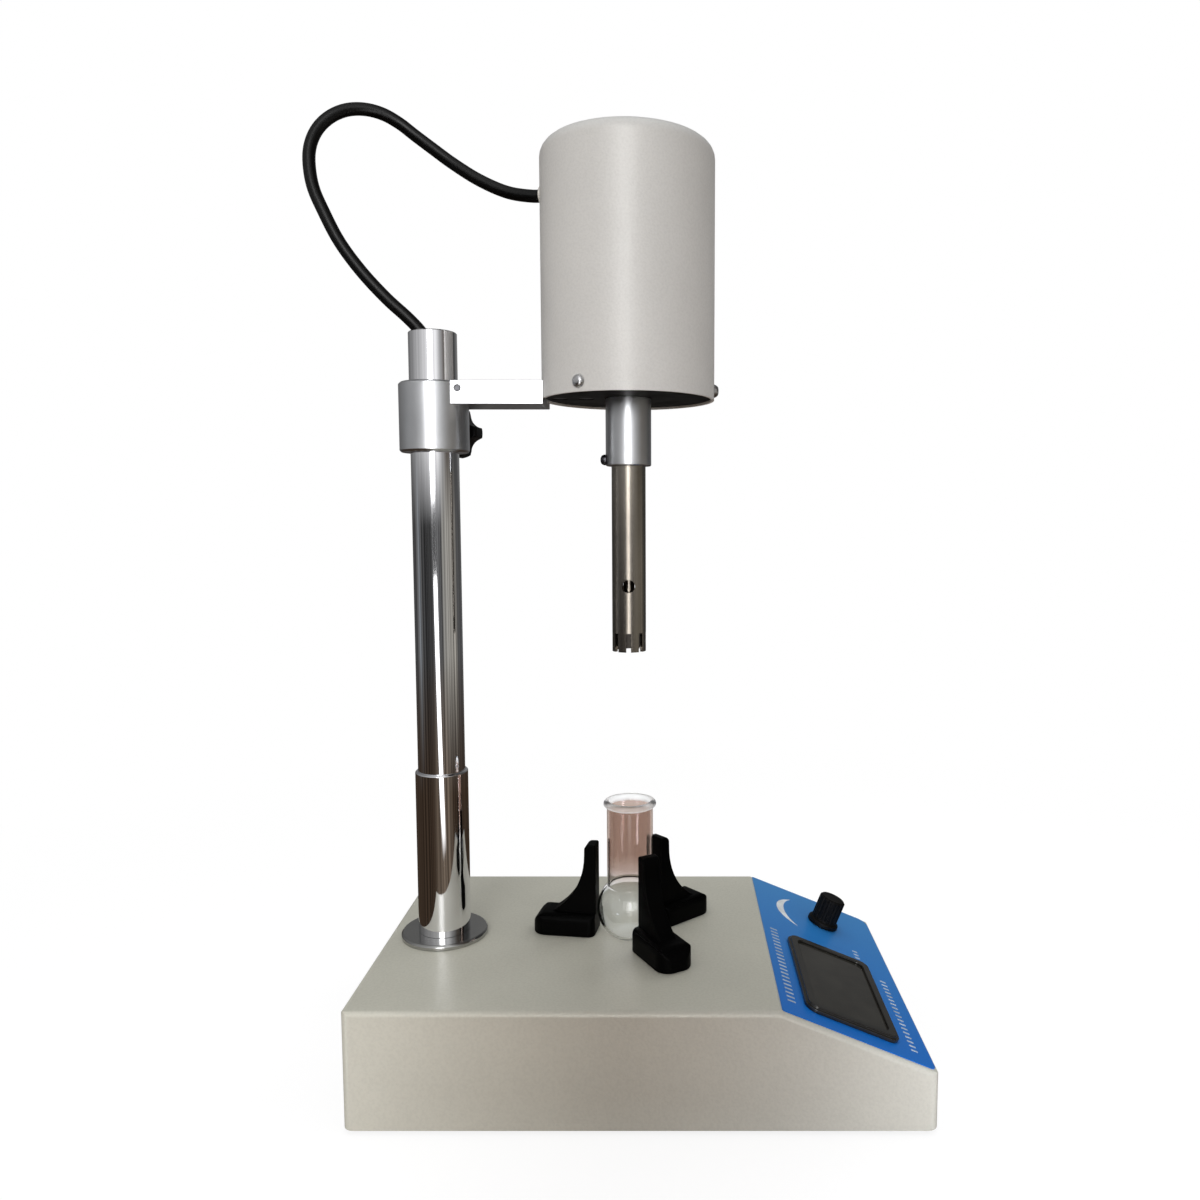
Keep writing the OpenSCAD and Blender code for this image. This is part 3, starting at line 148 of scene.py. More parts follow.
def ramp(tree, value, *stops):
    """A colour ramp through (place, colour) stops."""
    made = tree.nodes.new("ShaderNodeValToRGB")
    tree.links.new(value, made.inputs[0])
    bar = made.color_ramp.elements
    for number, (place, colour) in enumerate(stops):
        stop = bar[number] if number < 2 else bar.new(place)
        stop.position = place
        stop.color = (*colour, 1)
    return made.outputs[0]


def chart(red, green, blue):
    """A chart colour, 0 to 255, as linear values."""
    return tuple(
        c / 12.92 if c < 0.04045 else ((c + 0.055) / 1.055) ** 2.4
        for c in (red / 255, green / 255, blue / 255)
    )


def shade(colour, share):
    """A colour at a share of its brightness."""
    return tuple(c * share for c in colour)


def finish(name):
    """A new material's tree, its shader and the object coordinates that all its patterns read."""
    made = bpy.data.materials.new(name)
    made.use_nodes = True
    tree = made.node_tree
    return tree, tree.nodes["Principled BSDF"], node(tree, "TexCoord", out="Object")


def stretch(tree, place, x, y, z):
    """Object coordinates multiplied on each axis, so that a pattern runs in lines."""
    return node(tree, "Mapping", Vector=place, Scale=(x, y, z))


def drive(tree, shader, **sockets):
    """Links values to the shader's sockets by name."""
    for name, value in sockets.items():
        tree.links.new(value, shader.inputs[name.replace("_", " ")])


def emboss(tree, shader, height, distance):
    """Raises the surface by a pattern, as bump."""
    drive(tree, shader, Normal=node(tree, "Bump", Height=height, Distance=distance, Strength=1.0))


print("helpers ready")

# %% [markdown]
# Base and can are sprayed with hammertone paint, a stove enamel that dries in small pebbles. Up close
# it is a bump about a millimetre across; from afar it breaks the highlights into sparkle. A second,
# much larger noise shifts the tone slightly, as sprayed coats do. The can has the paler batch.


# %% Hammertone paint
def hammertone(name, colour, grain, depth):
    tree, shader, place = finish(name)
    pebbles = node(tree, "TexNoise", Vector=place, Scale=1 / grain, Detail=2.0, Roughness=0.45)
    coat = node(tree, "TexNoise", Vector=place, Scale=14.0, Detail=3.0)
    tone = ramp(tree, coat, (0.3, shade(colour, 0.95)), (0.7, shade(colour, 1.03)))
    fleck = ramp(tree, pebbles, (0.3, (0.96, 0.96, 0.96)), (0.62, (1.02, 1.02, 1.02)))
    mixed = node(tree, "Mix", out=2, data_type="RGBA", blend_type="MULTIPLY", i0=1.0, i6=tone, i7=fleck)
    gloss = ramp(tree, pebbles, (0.35, (0.42, 0.42, 0.42)), (0.65, (0.3, 0.3, 0.3)))
    drive(tree, shader, Base_Color=mixed, Roughness=gloss)
    shader.inputs["Specular IOR Level"].default_value = 0.55
    emboss(tree, shader, pebbles, depth)


hammertone("hammer_paint", chart(200, 199, 186), 1.3 * MM, 0.08 * MM)
hammertone("can_paint", chart(208, 208, 206), 1.1 * MM, 0.08 * MM)
print("paints ready")

# %% [markdown]
# The metals differ in how they were worked. Chrome is mirror smooth with a faint draw line along the
# tube. Turned aluminium keeps the lathe's rings, so its noise only changes with height. The tool is
# drawn stainless steel with a warm tint, and screws are plated and a little dull. The knife is
# painted near black: painted shade, for the shade it lies in inside the tube behind the slots.


# %% Metals
def metal(name, colour, rough, lines, depth, tint=0.08):
    """Metal whose noise is stretched by lines, (x, y, z), with roughness between two values."""
    tree, shader, place = finish(name)
    marks = node(tree, "TexNoise", Vector=stretch(tree, place, *lines), Scale=1.0, Detail=3.0)
    cloud = node(tree, "TexNoise", Vector=place, Scale=60.0, Detail=2.0)
    tone = ramp(tree, cloud, (0.35, shade(colour, 1 - tint)), (0.65, colour))
    gloss = ramp(tree, marks, (0.3, (rough[0],) * 3), (0.7, (rough[1],) * 3))
    drive(tree, shader, Base_Color=tone, Roughness=gloss)
    shader.inputs["Metallic"].default_value = 1.0
    emboss(tree, shader, marks, depth)


metal("chrome_tube", (0.82, 0.82, 0.84), (0.03, 0.07), (500, 500, 3), 0.0006 * MM, 0.02)
metal("turned_aluminium", (0.74, 0.75, 0.77), (0.31, 0.33), (30, 30, 3500), 0.0001 * MM)
metal("flange_steel", (0.44, 0.44, 0.43), (0.1, 0.18), (200, 200, 200), 0.0006 * MM)
metal("tool_steel", (0.36, 0.325, 0.28), (0.22, 0.26), (400, 400, 5), 0.0004 * MM)
# Near black knife: painted shade for the dark inside of the tube behind the slots.
metal("knife_steel", (0.05, 0.045, 0.04), (0.4, 0.55), (300, 300, 300), 0.002 * MM)
metal("screw_steel", (0.66, 0.66, 0.67), (0.22, 0.38), (700, 700, 700), 0.004 * MM)
metal("dark_screw", (0.09, 0.09, 0.1), (0.3, 0.45), (700, 700, 700), 0.004 * MM)
metal("pin_steel", (0.14, 0.14, 0.15), (0.3, 0.45), (700, 700, 700), 0.004 * MM)
metal("brass_part", (0.72, 0.53, 0.25), (0.2, 0.4), (300, 300, 1500), 0.004 * MM)
metal("lamination_steel", (0.34, 0.34, 0.36), (0.35, 0.6), (3, 3, 2000), 0.03 * MM)
metal("copper_winding", (0.65, 0.3, 0.14), (0.25, 0.45), (1500, 1500, 400), 0.05 * MM)
metal("zinc_sheet", (0.56, 0.57, 0.58), (0.32, 0.55), (180, 180, 180), 0.004 * MM, 0.2)
print("metals ready")

# %% [markdown]
# Plastics are dark and nearly plain, so their surface does the talking: a fine spark-eroded grain on
# the jaws and knobs, a deep gloss with a little dust on the display, soft rubber on the feet, and a
# smooth glossy jacket on the cable.


# %% Plastics and rubber
def plastic(name, colour, rough, grain, depth, specular=0.5):
    tree, shader, place = finish(name)
    skin = node(tree, "TexNoise", Vector=place, Scale=1 / grain, Detail=3.0)
    wear = node(tree, "TexNoise", Vector=place, Scale=90.0, Detail=4.0)
    tone = ramp(tree, wear, (0.35, shade(colour, 0.8)), (0.7, shade(colour, 1.25)))
    gloss = ramp(tree, wear, (0.3, (rough[0],) * 3), (0.75, (rough[1],) * 3))
    drive(tree, shader, Base_Color=tone, Roughness=gloss)
    shader.inputs["Specular IOR Level"].default_value = specular
    emboss(tree, shader, skin, depth)


plastic("black_plastic", (0.002, 0.002, 0.002), (0.45, 0.6), 0.35 * MM, 0.03 * MM, 0.18)
plastic("jaw_plastic", (0.0008, 0.0008, 0.0008), (0.4, 0.5), 0.35 * MM, 0.03 * MM, 0.035)
# Black anodised finish; on the motor plate its near black is also painted shade for the shade under the
# can.
plastic("black_aluminium", (0.002, 0.002, 0.002), (0.45, 0.6), 0.5 * MM, 0.02 * MM, 0.15)
plastic("gloss_black", (0.02, 0.019, 0.016), (0.1, 0.2), 3 * MM, 0.004 * MM)
plastic("window_plastic", (0.028, 0.026, 0.021), (0.05, 0.1), 8 * MM, 0.004 * MM)
plastic("white_plastic", (0.72, 0.71, 0.67), (0.35, 0.5), 0.6 * MM, 0.02 * MM)
plastic("rubber_black", (0.02, 0.02, 0.02), (0.6, 0.75), 0.5 * MM, 0.05 * MM, 0.3)
plastic("cable_jacket", (0.002, 0.002, 0.002), (0.3, 0.4), 1.5 * MM, 0.02 * MM, 0.25)
plastic("carbon", (0.03, 0.03, 0.032), (0.55, 0.8), 0.3 * MM, 0.03 * MM)
plastic("board_green", (0.02, 0.14, 0.06), (0.25, 0.5), 1.2 * MM, 0.04 * MM)
plastic("panel_print", (0.82, 0.86, 0.88), (0.35, 0.45), 0.5 * MM, 0.005 * MM)
plastic("tick_ink", (0.52, 0.62, 0.72), (0.35, 0.45), 0.5 * MM, 0.005 * MM)
print("plastics ready")

# %% [markdown]
# The front label is a printed blue film. Its blue is a little greyer towards the back edge, partly
# painted light for how the light falls on it, so the colour runs along the object's Y axis. The flask
# is thin laboratory glass; its neck is tinted rose-brown, a painted reflection of the brown room, its
# bulb is clear and its lip is a little frosted, which ramps on the object's height give.

# %% Label film and glass
LABEL_HALF = 0.08
NECK_LOW, NECK_HIGH = 0.085, 0.135
GLASS = (0.97, 0.98, 0.98)
ROSE_PAINTED_REFLECTION = (0.53, 0.42, 0.37)
GLASS_IOR = 1.4
tree, shader, place = finish("blue_label")
across = node(tree, "SeparateXYZ", out="Y", Vector=place)
# The blue greys towards the back: partly the film's own tone, partly painted light.
painted_light_share = node(tree, "MapRange", Value=across, From_Min=-LABEL_HALF, From_Max=LABEL_HALF)
film = node(tree, "TexNoise", Vector=place, Scale=1600.0, Detail=2.0)
drive(
    tree, shader,
    Base_Color=ramp(tree, painted_light_share, (0.0, chart(8, 112, 206)), (1.0, chart(54, 138, 208))),
    Roughness=ramp(tree, film, (0.3, (0.28, 0.28, 0.28)), (0.7, (0.36, 0.36, 0.36))),
)
emboss(tree, shader, film, 0.008 * MM)

tree, shader, place = finish("clear_glass")
height = node(tree, "SeparateXYZ", out="Z", Vector=place)
rise = node(tree, "MapRange", Value=height, From_Min=NECK_LOW, From_Max=NECK_HIGH)
ripple = node(tree, "TexNoise", Vector=stretch(tree, place, 160, 160, 25), Scale=1.0, Detail=2.0)
# The rose-brown on the neck is a painted reflection of the brown room round the flask.
neck_painted_reflection = ramp(tree, rise, (0.0, GLASS), (0.3, ROSE_PAINTED_REFLECTION), (0.92, ROSE_PAINTED_REFLECTION), (0.95, GLASS))
polish = ramp(tree, rise, (0.9, (0.01, 0.01, 0.01)), (0.94, (0.4, 0.4, 0.4)))
drive(tree, shader, Base_Color=neck_painted_reflection, Roughness=polish)
shader.inputs["Transmission Weight"].default_value = 1.0
shader.inputs["IOR"].default_value = GLASS_IOR
emboss(tree, shader, ripple, 0.02 * MM)
print("label and glass ready")

# %% [markdown]
# Each CAD node starts with the finish that the record names for it. The inner parts of the motor and
# the base stop here, because nobody sees them with the covers on.

# %% Finishes on the CAD nodes
slot_of = {row["node"]: row["material_slot"] for row in frame["record"]["subparts"]}
for name, slot in slot_of.items():
    mesh = frame["nodes"][name].data
    mesh.materials.clear()
    mesh.materials.append(bpy.data.materials[slot])
# The knife gets the near black painted shade; the arm's screws are dark screws.
for name, finish_name in (("rotor_knife", "knife_steel"), ("arm_screws", "dark_screw")):
    frame["nodes"][name].data.materials[0] = bpy.data.materials[finish_name]
print("finishes on", len(slot_of), "nodes")

# %% [markdown]
# The motor cable hangs in one free loop from the can to the column's mouth. Its route is the one that
# the CAD uses, a smooth curve through the same points. A tube of rings is swept along it, ring by ring.

# %% Motor cable
CABLE_D = 6.5 * MM
CABLE_SIDES = 20
CABLE_STEPS = 6
CABLE_ROUTE = [
    (-44, 9.5, 457), (-52, 11.8, 457), (-60, 14, 457.5), (-73, 17, 460.5), (-88, 19.5, 467.5),
    (-102, 21.5, 476.5), (-113, 22, 484.5), (-122.5, 22, 491.5), (-130, 21, 497), (-138, 19, 501),
    (-146.5, 16.5, 502.5), (-155, 13.5, 501.2), (-162.5, 10.5, 497), (-168.5, 8, 490.5),
    (-172, 5.5, 482), (-172.8, 3.5, 472), (-170.5, 1.5, 458.5), (-165, 0.5, 445.5), (-157, 0, 430),
    (-146, 0, 415), (-133.5, 0, 401.5), (-122, 0, 391), (-115, 0, 383), (-111.3, 0, 374), (-110, 0, 364),
]


def on_route(points, leg, t):
    """A point of the smooth curve through the route's points."""
    last = len(points) - 1
    a, b, c, d = (points[min(max(leg + k, 0), last)] for k in (-1, 0, 1, 2))
    return (2 * b + (c - a) * t + (2 * a - 5 * b + 4 * c - d) * t**2 + (3 * b - a - 3 * c + d) * t**3) / 2


def add_piece(name, mesh, finish_name, smooth=True):
    """A piece at the origin with one finish."""
    mesh.materials.clear()
    mesh.materials.append(bpy.data.materials[finish_name])
    mesh.polygons.foreach_set("use_smooth", [smooth] * len(mesh.polygons))
    made = bpy.data.objects.new(name, mesh)
    scene.collection.objects.link(made)
    return made


route = [Vector(p) * MM for p in CABLE_ROUTE]
line = [on_route(route, leg, k / CABLE_STEPS) for leg in range(len(route) - 1) for k in range(CABLE_STEPS)]
line.append(route[-1])
rings = bmesh.new()
previous = None
for number, point in enumerate(line):
    ahead = (line[min(number + 1, len(line) - 1)] - line[max(number - 1, 0)]).normalized()
    side = ahead.cross(Vector((0, 1, 0))).normalized()
    up = side.cross(ahead)
    turns = [2 * math.pi * k / CABLE_SIDES for k in range(CABLE_SIDES)]
    ring = [rings.verts.new(point + CABLE_D / 2 * (math.cos(t) * side + math.sin(t) * up)) for t in turns]
    if previous:
        for k in range(CABLE_SIDES):
            n = (k + 1) % CABLE_SIDES
            rings.faces.new((previous[k], previous[n], ring[n], ring[k]))
    else:
        rings.faces.new(ring[::-1])
    previous = ring
rings.faces.new(previous)
bmesh.ops.recalc_face_normals(rings, faces=rings.faces)
cable_mesh = bpy.data.meshes.new("cable_jacket")
rings.to_mesh(cable_mesh)
rings.free()
cable = add_piece("cable_jacket", cable_mesh, "cable_jacket")
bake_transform(cable)
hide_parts("motor_cable")

# %% [markdown]
# Real edges are never razor sharp, and the light that they catch is what makes a part look made. The
# CAD mesh itself stays untouched: a copy is merged, its sharp edges get a small bevel, and weighted
# normals keep the flat faces flat. The copy then stands for the node. Thin pieces, such as sheet, film
# and tubes, have a width of 0: they get no bevel, and their sharp edges are only marked.

# %% Broken edges
MERGE_GAP = 0.002 * MM
FLAT_ANGLE = math.radians(0.4)
STEEP_ANGLE = math.radians(35)
EDGE_SEGMENTS = 2


def broken_edges(name, width, finish_name=None):
    """A copy of a CAD node with its sharp edges broken by width millimetres, on the same body."""
    source = frame["nodes"][name]
    shape = bmesh.new()
    shape.from_mesh(source.data)
    bmesh.ops.remove_doubles(shape, verts=shape.verts, dist=MERGE_GAP)
    bmesh.ops.dissolve_limit(shape, angle_limit=FLAT_ANGLE, verts=shape.verts, edges=shape.edges)
    mesh = bpy.data.meshes.new(name + "_shape")
    shape.to_mesh(mesh)
    shape.free()
    made = add_piece(name + "_finished", mesh, finish_name or slot_of[name])
    if width:
        bevel = made.modifiers.new("edges", "BEVEL")
        bevel.width = width * MM
        bevel.segments = EDGE_SEGMENTS
        bevel.limit_method = "ANGLE"
        bevel.angle_limit = STEEP_ANGLE
        bevel.use_clamp_overlap = False
    else:
        mesh.set_sharp_from_angle(angle=STEEP_ANGLE)
    weighted = made.modifiers.new("flats", "WEIGHTED_NORMAL")
    weighted.keep_sharp = True
    plain = bpy.data.meshes.new_from_object(made.evaluated_get(bpy.context.evaluated_depsgraph_get()))
    made.modifiers.clear()
    made.data = plain
    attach(made, source["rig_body"])
    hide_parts(name)
    return made


EDGES = {
    "base_shell": 0, "base_plate": 0.2, "rubber_feet": 0.6, "column_tube": 0,
    "column_sleeve": 0.25, "display_bezel": 0.35, "display_window": 0, "speed_knob": 0.15,
    "mains_inlet": 0.3, "switch_housing": 0.3, "power_rocker": 0.3, "column_grommet": 0,
    "clamp_boss": 0.2, "arm": 0.4, "motor_plate": 0.3, "motor_can": 0,
    "can_grommet": 0.3, "tool_collar": 0.2, "stator_tube": 0, "clamp_knob": 0.4,
    "panel_label": 0,
}
for name, width in EDGES.items():
    made = broken_edges(name, width)
    print(made.name, len(made.data.polygons), "faces")
broken_edges("column_flange", 0.3, "flange_steel")
broken_edges("collar_screw", 0.1, "dark_screw")
broken_edges("arm_pin", 0.1, "pin_steel")
for name in ("jaw_left", "jaw_front", "jaw_rear"):
    broken_edges(name, 0.7, "jaw_plastic")

# %% [markdown]
# Glass shows every facet, so the flask isn't a copy of the CAD's mesh. Its wall is drawn as a profile,
# from the middle of the foot up the outside, over the bead at the mouth and down the inside. The
# profile's corners are cut once, as fire polishing rounds them, and it is turned about the axis. Light
# goes through the thin wall almost unhindered, so the flask casts no shadow.

# %% Flask
FLASK_AXIS = Vector((-8, 0, 60)) * MM
BULB_R, BULB_UP, NECK_R, FLASK_H, WALL, BEAD_R = 18, 15, 12.5, 75, 1.2, 1.8
FLASK_FLOOR = 1.5
FLASK_SIDES = 80
WALL_STEP = 1.2
BEAD_STEPS = 12
CORNER_CUT = 0.25
ON_AXIS = 0.01


def arc_to(centre, radius, start, end, count=24):
    """Points (radius, height) of an arc in the wall's profile, angles in radians."""
    angles = (start + (end - start) * k / count for k in range(count + 1))
    return [Vector((centre[0] + radius * math.cos(a), centre[1] + radius * math.sin(a))) for a in angles]


def close_points(points, step):
    """The same line with points no further apart than step."""
    made = [points[0]]
    for a, b in zip(points, points[1:]):
        count = max(1, math.ceil((b - a).length / step))
        made += [a.lerp(b, k / count) for k in range(1, count + 1)]
    return made


bore_r, inside_r = NECK_R - WALL, BULB_R - WALL
wall = [Vector((0, 0))]
wall += arc_to((0, BULB_UP), BULB_R, math.asin(-BULB_UP / BULB_R), math.acos(NECK_R / BULB_R))
wall += arc_to((NECK_R, FLASK_H - BEAD_R), BEAD_R, -math.pi / 2, math.pi / 2, BEAD_STEPS)
wall.append(Vector((bore_r, FLASK_H)))
inside_top = math.acos(bore_r / inside_r)
inside_foot = math.asin((FLASK_FLOOR - BULB_UP) / inside_r)
wall += arc_to((0, BULB_UP), inside_r, inside_top, inside_foot)
wall.append(Vector((0, FLASK_FLOOR)))
wall = close_points(wall, WALL_STEP)
cut = [wall[0]]
for a, b in zip(wall, wall[1:]):
    cut += [a.lerp(b, CORNER_CUT), a.lerp(b, 1 - CORNER_CUT)]
cut.append(wall[-1])
turned = bmesh.new()
previous = None
for radius, height in cut:
    if radius < ON_AXIS:
        ring = [turned.verts.new(FLASK_AXIS + Vector((0, 0, height)) * MM)] * FLASK_SIDES
    else:
        turns = [2 * math.pi * k / FLASK_SIDES for k in range(FLASK_SIDES)]
        ring = [
            turned.verts.new(FLASK_AXIS + Vector((radius * math.cos(t), radius * math.sin(t), height)) * MM)
            for t in turns
        ]
    if previous:
        for k in range(FLASK_SIDES):
            n = (k + 1) % FLASK_SIDES
            corners = dict.fromkeys((previous[k], previous[n], ring[n], ring[k]))
            turned.faces.new(tuple(corners))
    previous = ring
bmesh.ops.recalc_face_normals(turned, faces=turned.faces)
flask_mesh = bpy.data.meshes.new("glass_flask")
turned.to_mesh(flask_mesh)
turned.free()
flask = add_piece("glass_flask", flask_mesh, "clear_glass")
flask.visible_shadow = False
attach(flask, "vessel")
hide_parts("flask")
print("flask", len(flask.data.polygons), "faces")

# %% [markdown]
# Screw heads repeat, so Geometry Nodes make them: one pan head with a cross recess is built inside the
# tree and set on every point, facing along the direction stored with that point. The tree ends in
# Realize Instances and Set Material, and its result is kept as a plain mesh. First come the helpers,
# which the printed marks use as well.


# %% Helpers for Geometry Nodes
def geometry_tree(name, *sizes):
    """An empty geometry tree with named size inputs."""
    tree = bpy.data.node_groups.new(name, "GeometryNodeTree")
    tree.interface.new_socket("Geometry", in_out="INPUT", socket_type="NodeSocketGeometry")
    for size in sizes:
        tree.interface.new_socket(size, in_out="INPUT", socket_type="NodeSocketFloat")
    tree.interface.new_socket("Geometry", in_out="OUTPUT", socket_type="NodeSocketGeometry")
    return tree, tree.nodes.new("NodeGroupInput").outputs


def close_tree(tree, points, instance, rotation, finish_name):
    """Sets the instance on the points, makes it real and gives it its finish."""
    paint = bpy.data.materials[finish_name]
    placed = node(
        tree, "GeometryNodeInstanceOnPoints", Points=points, Instance=instance, Rotation=rotation
    )
    real = node(tree, "GeometryNodeRealizeInstances", Geometry=placed)
    painted = node(tree, "GeometryNodeSetMaterial", Geometry=real, Material=paint)
    tree.links.new(painted, tree.nodes.new("NodeGroupOutput").inputs["Geometry"])


def grown(name, tree, points, facings, **sizes):
    """Runs a geometry tree on points with a facing each, and keeps the result as a plain mesh."""
    mesh = bpy.data.meshes.new(name)
    mesh.from_pydata([tuple(p) for p in points], [], [])
    facing = mesh.attributes.new("facing", "FLOAT_VECTOR", "POINT")
    for value, direction in zip(facing.data, facings):
        value.vector = direction
    made = bpy.data.objects.new(name, mesh)
    scene.collection.objects.link(made)
    grow = made.modifiers.new("grow", "NODES")
    grow.node_group = tree
    for socket in tree.interface.items_tree:
        if socket.in_out == "INPUT" and socket.name.replace(" ", "_") in sizes:
            grow[socket.identifier] = sizes[socket.name.replace(" ", "_")]
    plain = bpy.data.meshes.new_from_object(made.evaluated_get(bpy.context.evaluated_depsgraph_get()))
    made.modifiers.remove(grow)
    made.data = plain
    return made


def facing_rotation(tree):
    """Turns an instance's Z axis to the direction stored on its point."""
    stored = node(tree, "GeometryNodeInputNamedAttribute", data_type="FLOAT_VECTOR", Name="facing")
    return node(tree, "FunctionNodeAlignRotationToVector", axis="Z", Vector=stored)


def maths(tree, operation, a, b=0.0):
    return node(tree, "Math", operation=operation, i0=a, i1=b)


print("geometry helpers ready")

# %% [markdown]
# The head starts as a ball. Its lower half is pressed flat, its upper half is raised to a low crown, and
# two crossed bars are cut out of it. A plain shank goes into the wall behind it.

# %% Pan-head screws
CROWN_POWER = 4.0
CROSS_REACH = 0.58
CROSS_DEPTH = 1.2
screw_tree, size = geometry_tree("pan_head_screw", "Head", "Height", "Shank", "Length", "Recess")
ball = node(screw_tree, "GeometryNodeMeshUVSphere", Segments=32, Rings=24, Radius=1.0)
spot = node(screw_tree, "GeometryNodeInputPosition")
apart = screw_tree.nodes.new("ShaderNodeSeparateXYZ")
screw_tree.links.new(spot, apart.inputs[0])
flat = node(screw_tree, "CombineXYZ", X=apart.outputs["X"], Y=apart.outputs["Y"])
radius = node(screw_tree, "VectorMath", out="Value", operation="LENGTH", i0=flat)
crown = maths(screw_tree, "SUBTRACT", 1.0, maths(screw_tree, "POWER", radius, CROWN_POWER))
upper = maths(screw_tree, "GREATER_THAN", apart.outputs["Z"], 0.0)
lift = maths(screw_tree, "MULTIPLY", maths(screw_tree, "MULTIPLY", crown, upper), size["Height"])
half = maths(screw_tree, "MULTIPLY", size["Head"], 0.5)
spread = node(screw_tree, "VectorMath", operation="SCALE", i0=flat, Scale=half)
raised = node(screw_tree, "CombineXYZ", Z=lift)
crowned = node(screw_tree, "VectorMath", operation="ADD", i0=spread, i1=raised)
dome = node(screw_tree, "GeometryNodeSetPosition", Geometry=ball, Position=crowned)
reach = maths(screw_tree, "MULTIPLY", size["Head"], CROSS_REACH)
depth = maths(screw_tree, "MULTIPLY", size["Height"], CROSS_DEPTH)
bars = [
    node(screw_tree, "GeometryNodeMeshCube", Size=node(screw_tree, "CombineXYZ", X=x, Y=y, Z=depth))
    for x, y in ((reach, size["Recess"]), (size["Recess"], reach))
]
cross = screw_tree.nodes.new("GeometryNodeJoinGeometry")
top = node(screw_tree, "CombineXYZ", Z=size["Height"])
for bar in bars:
    high = node(screw_tree, "GeometryNodeTransform", Geometry=bar, Translation=top)
    screw_tree.links.new(high, cross.inputs[0])
head = node(screw_tree, "GeometryNodeMeshBoolean", operation="DIFFERENCE", i0=dome, i1=cross.outputs[0])
drop = node(screw_tree, "CombineXYZ", Z=maths(screw_tree, "MULTIPLY", size["Length"], -0.5))
rod = node(
    screw_tree, "GeometryNodeMeshCylinder", Vertices=20, Depth=size["Length"],
    Radius=maths(screw_tree, "MULTIPLY", size["Shank"], 0.5),
)
shank = node(screw_tree, "GeometryNodeTransform", Geometry=rod, Translation=drop)
screw = screw_tree.nodes.new("GeometryNodeJoinGeometry")
screw_tree.links.new(head, screw.inputs[0])
screw_tree.links.new(shank, screw.inputs[0])
facing = facing_rotation(screw_tree)
close_tree(screw_tree, size["Geometry"], screw.outputs[0], facing, "screw_steel")
print("screw tree of", len(screw_tree.nodes), "nodes")

# %% [markdown]
# Three screws hold the can at its lower edge, and one goes up through each rubber foot. Both groups come
# from the same tree, with other sizes.

# %% Screws in their places
CAN_AXIS = Vector((-8, 0, 354)) * MM
CAN_R = 45 * MM
CAN_ANGLES = (0, 120, -120)
FOOT_X, FOOT_Y, FOOT_Z = 118, 73, 5.3
angles = [math.radians(a) for a in CAN_ANGLES]
outwards = [Vector((math.cos(a), math.sin(a), 0)) for a in angles]
can_screws = grown(
    "can_screw_heads", screw_tree, [CAN_AXIS + CAN_R * o for o in outwards], outwards,
    Head=7 * MM, Height=2.3 * MM, Shank=3 * MM, Length=8 * MM, Recess=0.9 * MM,
)
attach(can_screws, "head")
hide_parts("can_screws")
feet = [Vector((x, y, FOOT_Z)) * MM for x in (-FOOT_X, FOOT_X) for y in (-FOOT_Y, FOOT_Y)]
foot_screws = grown(
    "foot_screw_heads", screw_tree, feet, [(0, 0, -1)] * 4,
    Head=8 * MM, Height=2.5 * MM, Shank=4 * MM, Length=6 * MM, Recess=1.1 * MM,
)
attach(foot_screws, "stand")
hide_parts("foot_screws")
print("screws", len(can_screws.data.polygons), len(foot_screws.data.polygons), "faces")

# %% [markdown]
# The label's print is thin pale ink: a crescent that swells round the back of the speed knob, two plain
# rows of fine ticks along the panel's edges and a short row by the knob. Ink is given a little thickness,
# so that it shows in the mesh. The panel has its own frame, tilted about Y.

# %% Panel print
PANEL_TOP = (0.065, 0, 0.06)
PANEL_DROP, PANEL_RUN = 30.5, 75
PANEL_TILT = math.atan(PANEL_DROP / PANEL_RUN)
INK = 0.06 * MM
LABEL_T = 0.4 * MM
KNOB = Vector((43.5, 48, 0)) * MM
on_panel = Matrix.Translation(PANEL_TOP) @ Matrix.Rotation(PANEL_TILT, 4, "Y")
panel_up = on_panel.to_3x3() @ Vector((0, 0, 1))


def inked(name, outline):
    """A flat printed shape from its outline on the panel, with the ink's thickness."""
    shape = bmesh.new()
    low = [shape.verts.new(on_panel @ Vector((s, y, LABEL_T))) for s, y in outline]
    face = shape.faces.new(low)
    raised = bmesh.ops.extrude_face_region(shape, geom=[face])["geom"]
    bmesh.ops.translate(
        shape, vec=panel_up * INK, verts=[v for v in raised if isinstance(v, bmesh.types.BMVert)]
    )
    bmesh.ops.recalc_face_normals(shape, faces=shape.faces)
    mesh = bpy.data.meshes.new(name)
    shape.to_mesh(mesh)
    shape.free()
    made = add_piece(name, mesh, "panel_print", smooth=False)
    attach(made, "stand")


def arc_point(radius, angle):
    """A point round the knob: angle 0 is straight up the slope."""
    return KNOB.x - radius * math.cos(angle), KNOB.y + radius * math.sin(angle)


ARC_STEPS = 40
ARC_HALF = 46
TIP_OUT, TIP_IN = 26.5, 26.4
SWELL_OUT, SWELL_IN = 3.0, 1.5
sweep = [math.radians(ARC_HALF * (2 * k / ARC_STEPS - 1)) for k in range(ARC_STEPS + 1)]
swell = [math.cos(a * 90 / ARC_HALF) for a in sweep]
outer = [arc_point((TIP_OUT + SWELL_OUT * bulge) * MM, a) for a, bulge in zip(sweep, swell)]
inner = [arc_point((TIP_IN - SWELL_IN * bulge) * MM, a) for a, bulge in zip(sweep, swell)]
inked("speed_crescent", outer + inner[::-1])
print("crescent of", 2 * len(sweep), "points")

# %% [markdown]
# A tick is one flat bar, so a second small tree repeats it along a row, turned to lie on the slope.

# %% Printed ticks
TICK_W = 1.3 * MM
tick_tree, size = geometry_tree("printed_tick", "Across", "Along", "Ink")
tick = node(
    tick_tree, "GeometryNodeMeshCube",
    Size=node(tick_tree, "CombineXYZ", X=size["Across"], Y=size["Along"], Z=size["Ink"]),
)
tilted = node(tick_tree, "FunctionNodeAxisAngleToRotation", Axis=(0, 1, 0), Angle=PANEL_TILT)
close_tree(tick_tree, size["Geometry"], tick, tilted, "tick_ink")


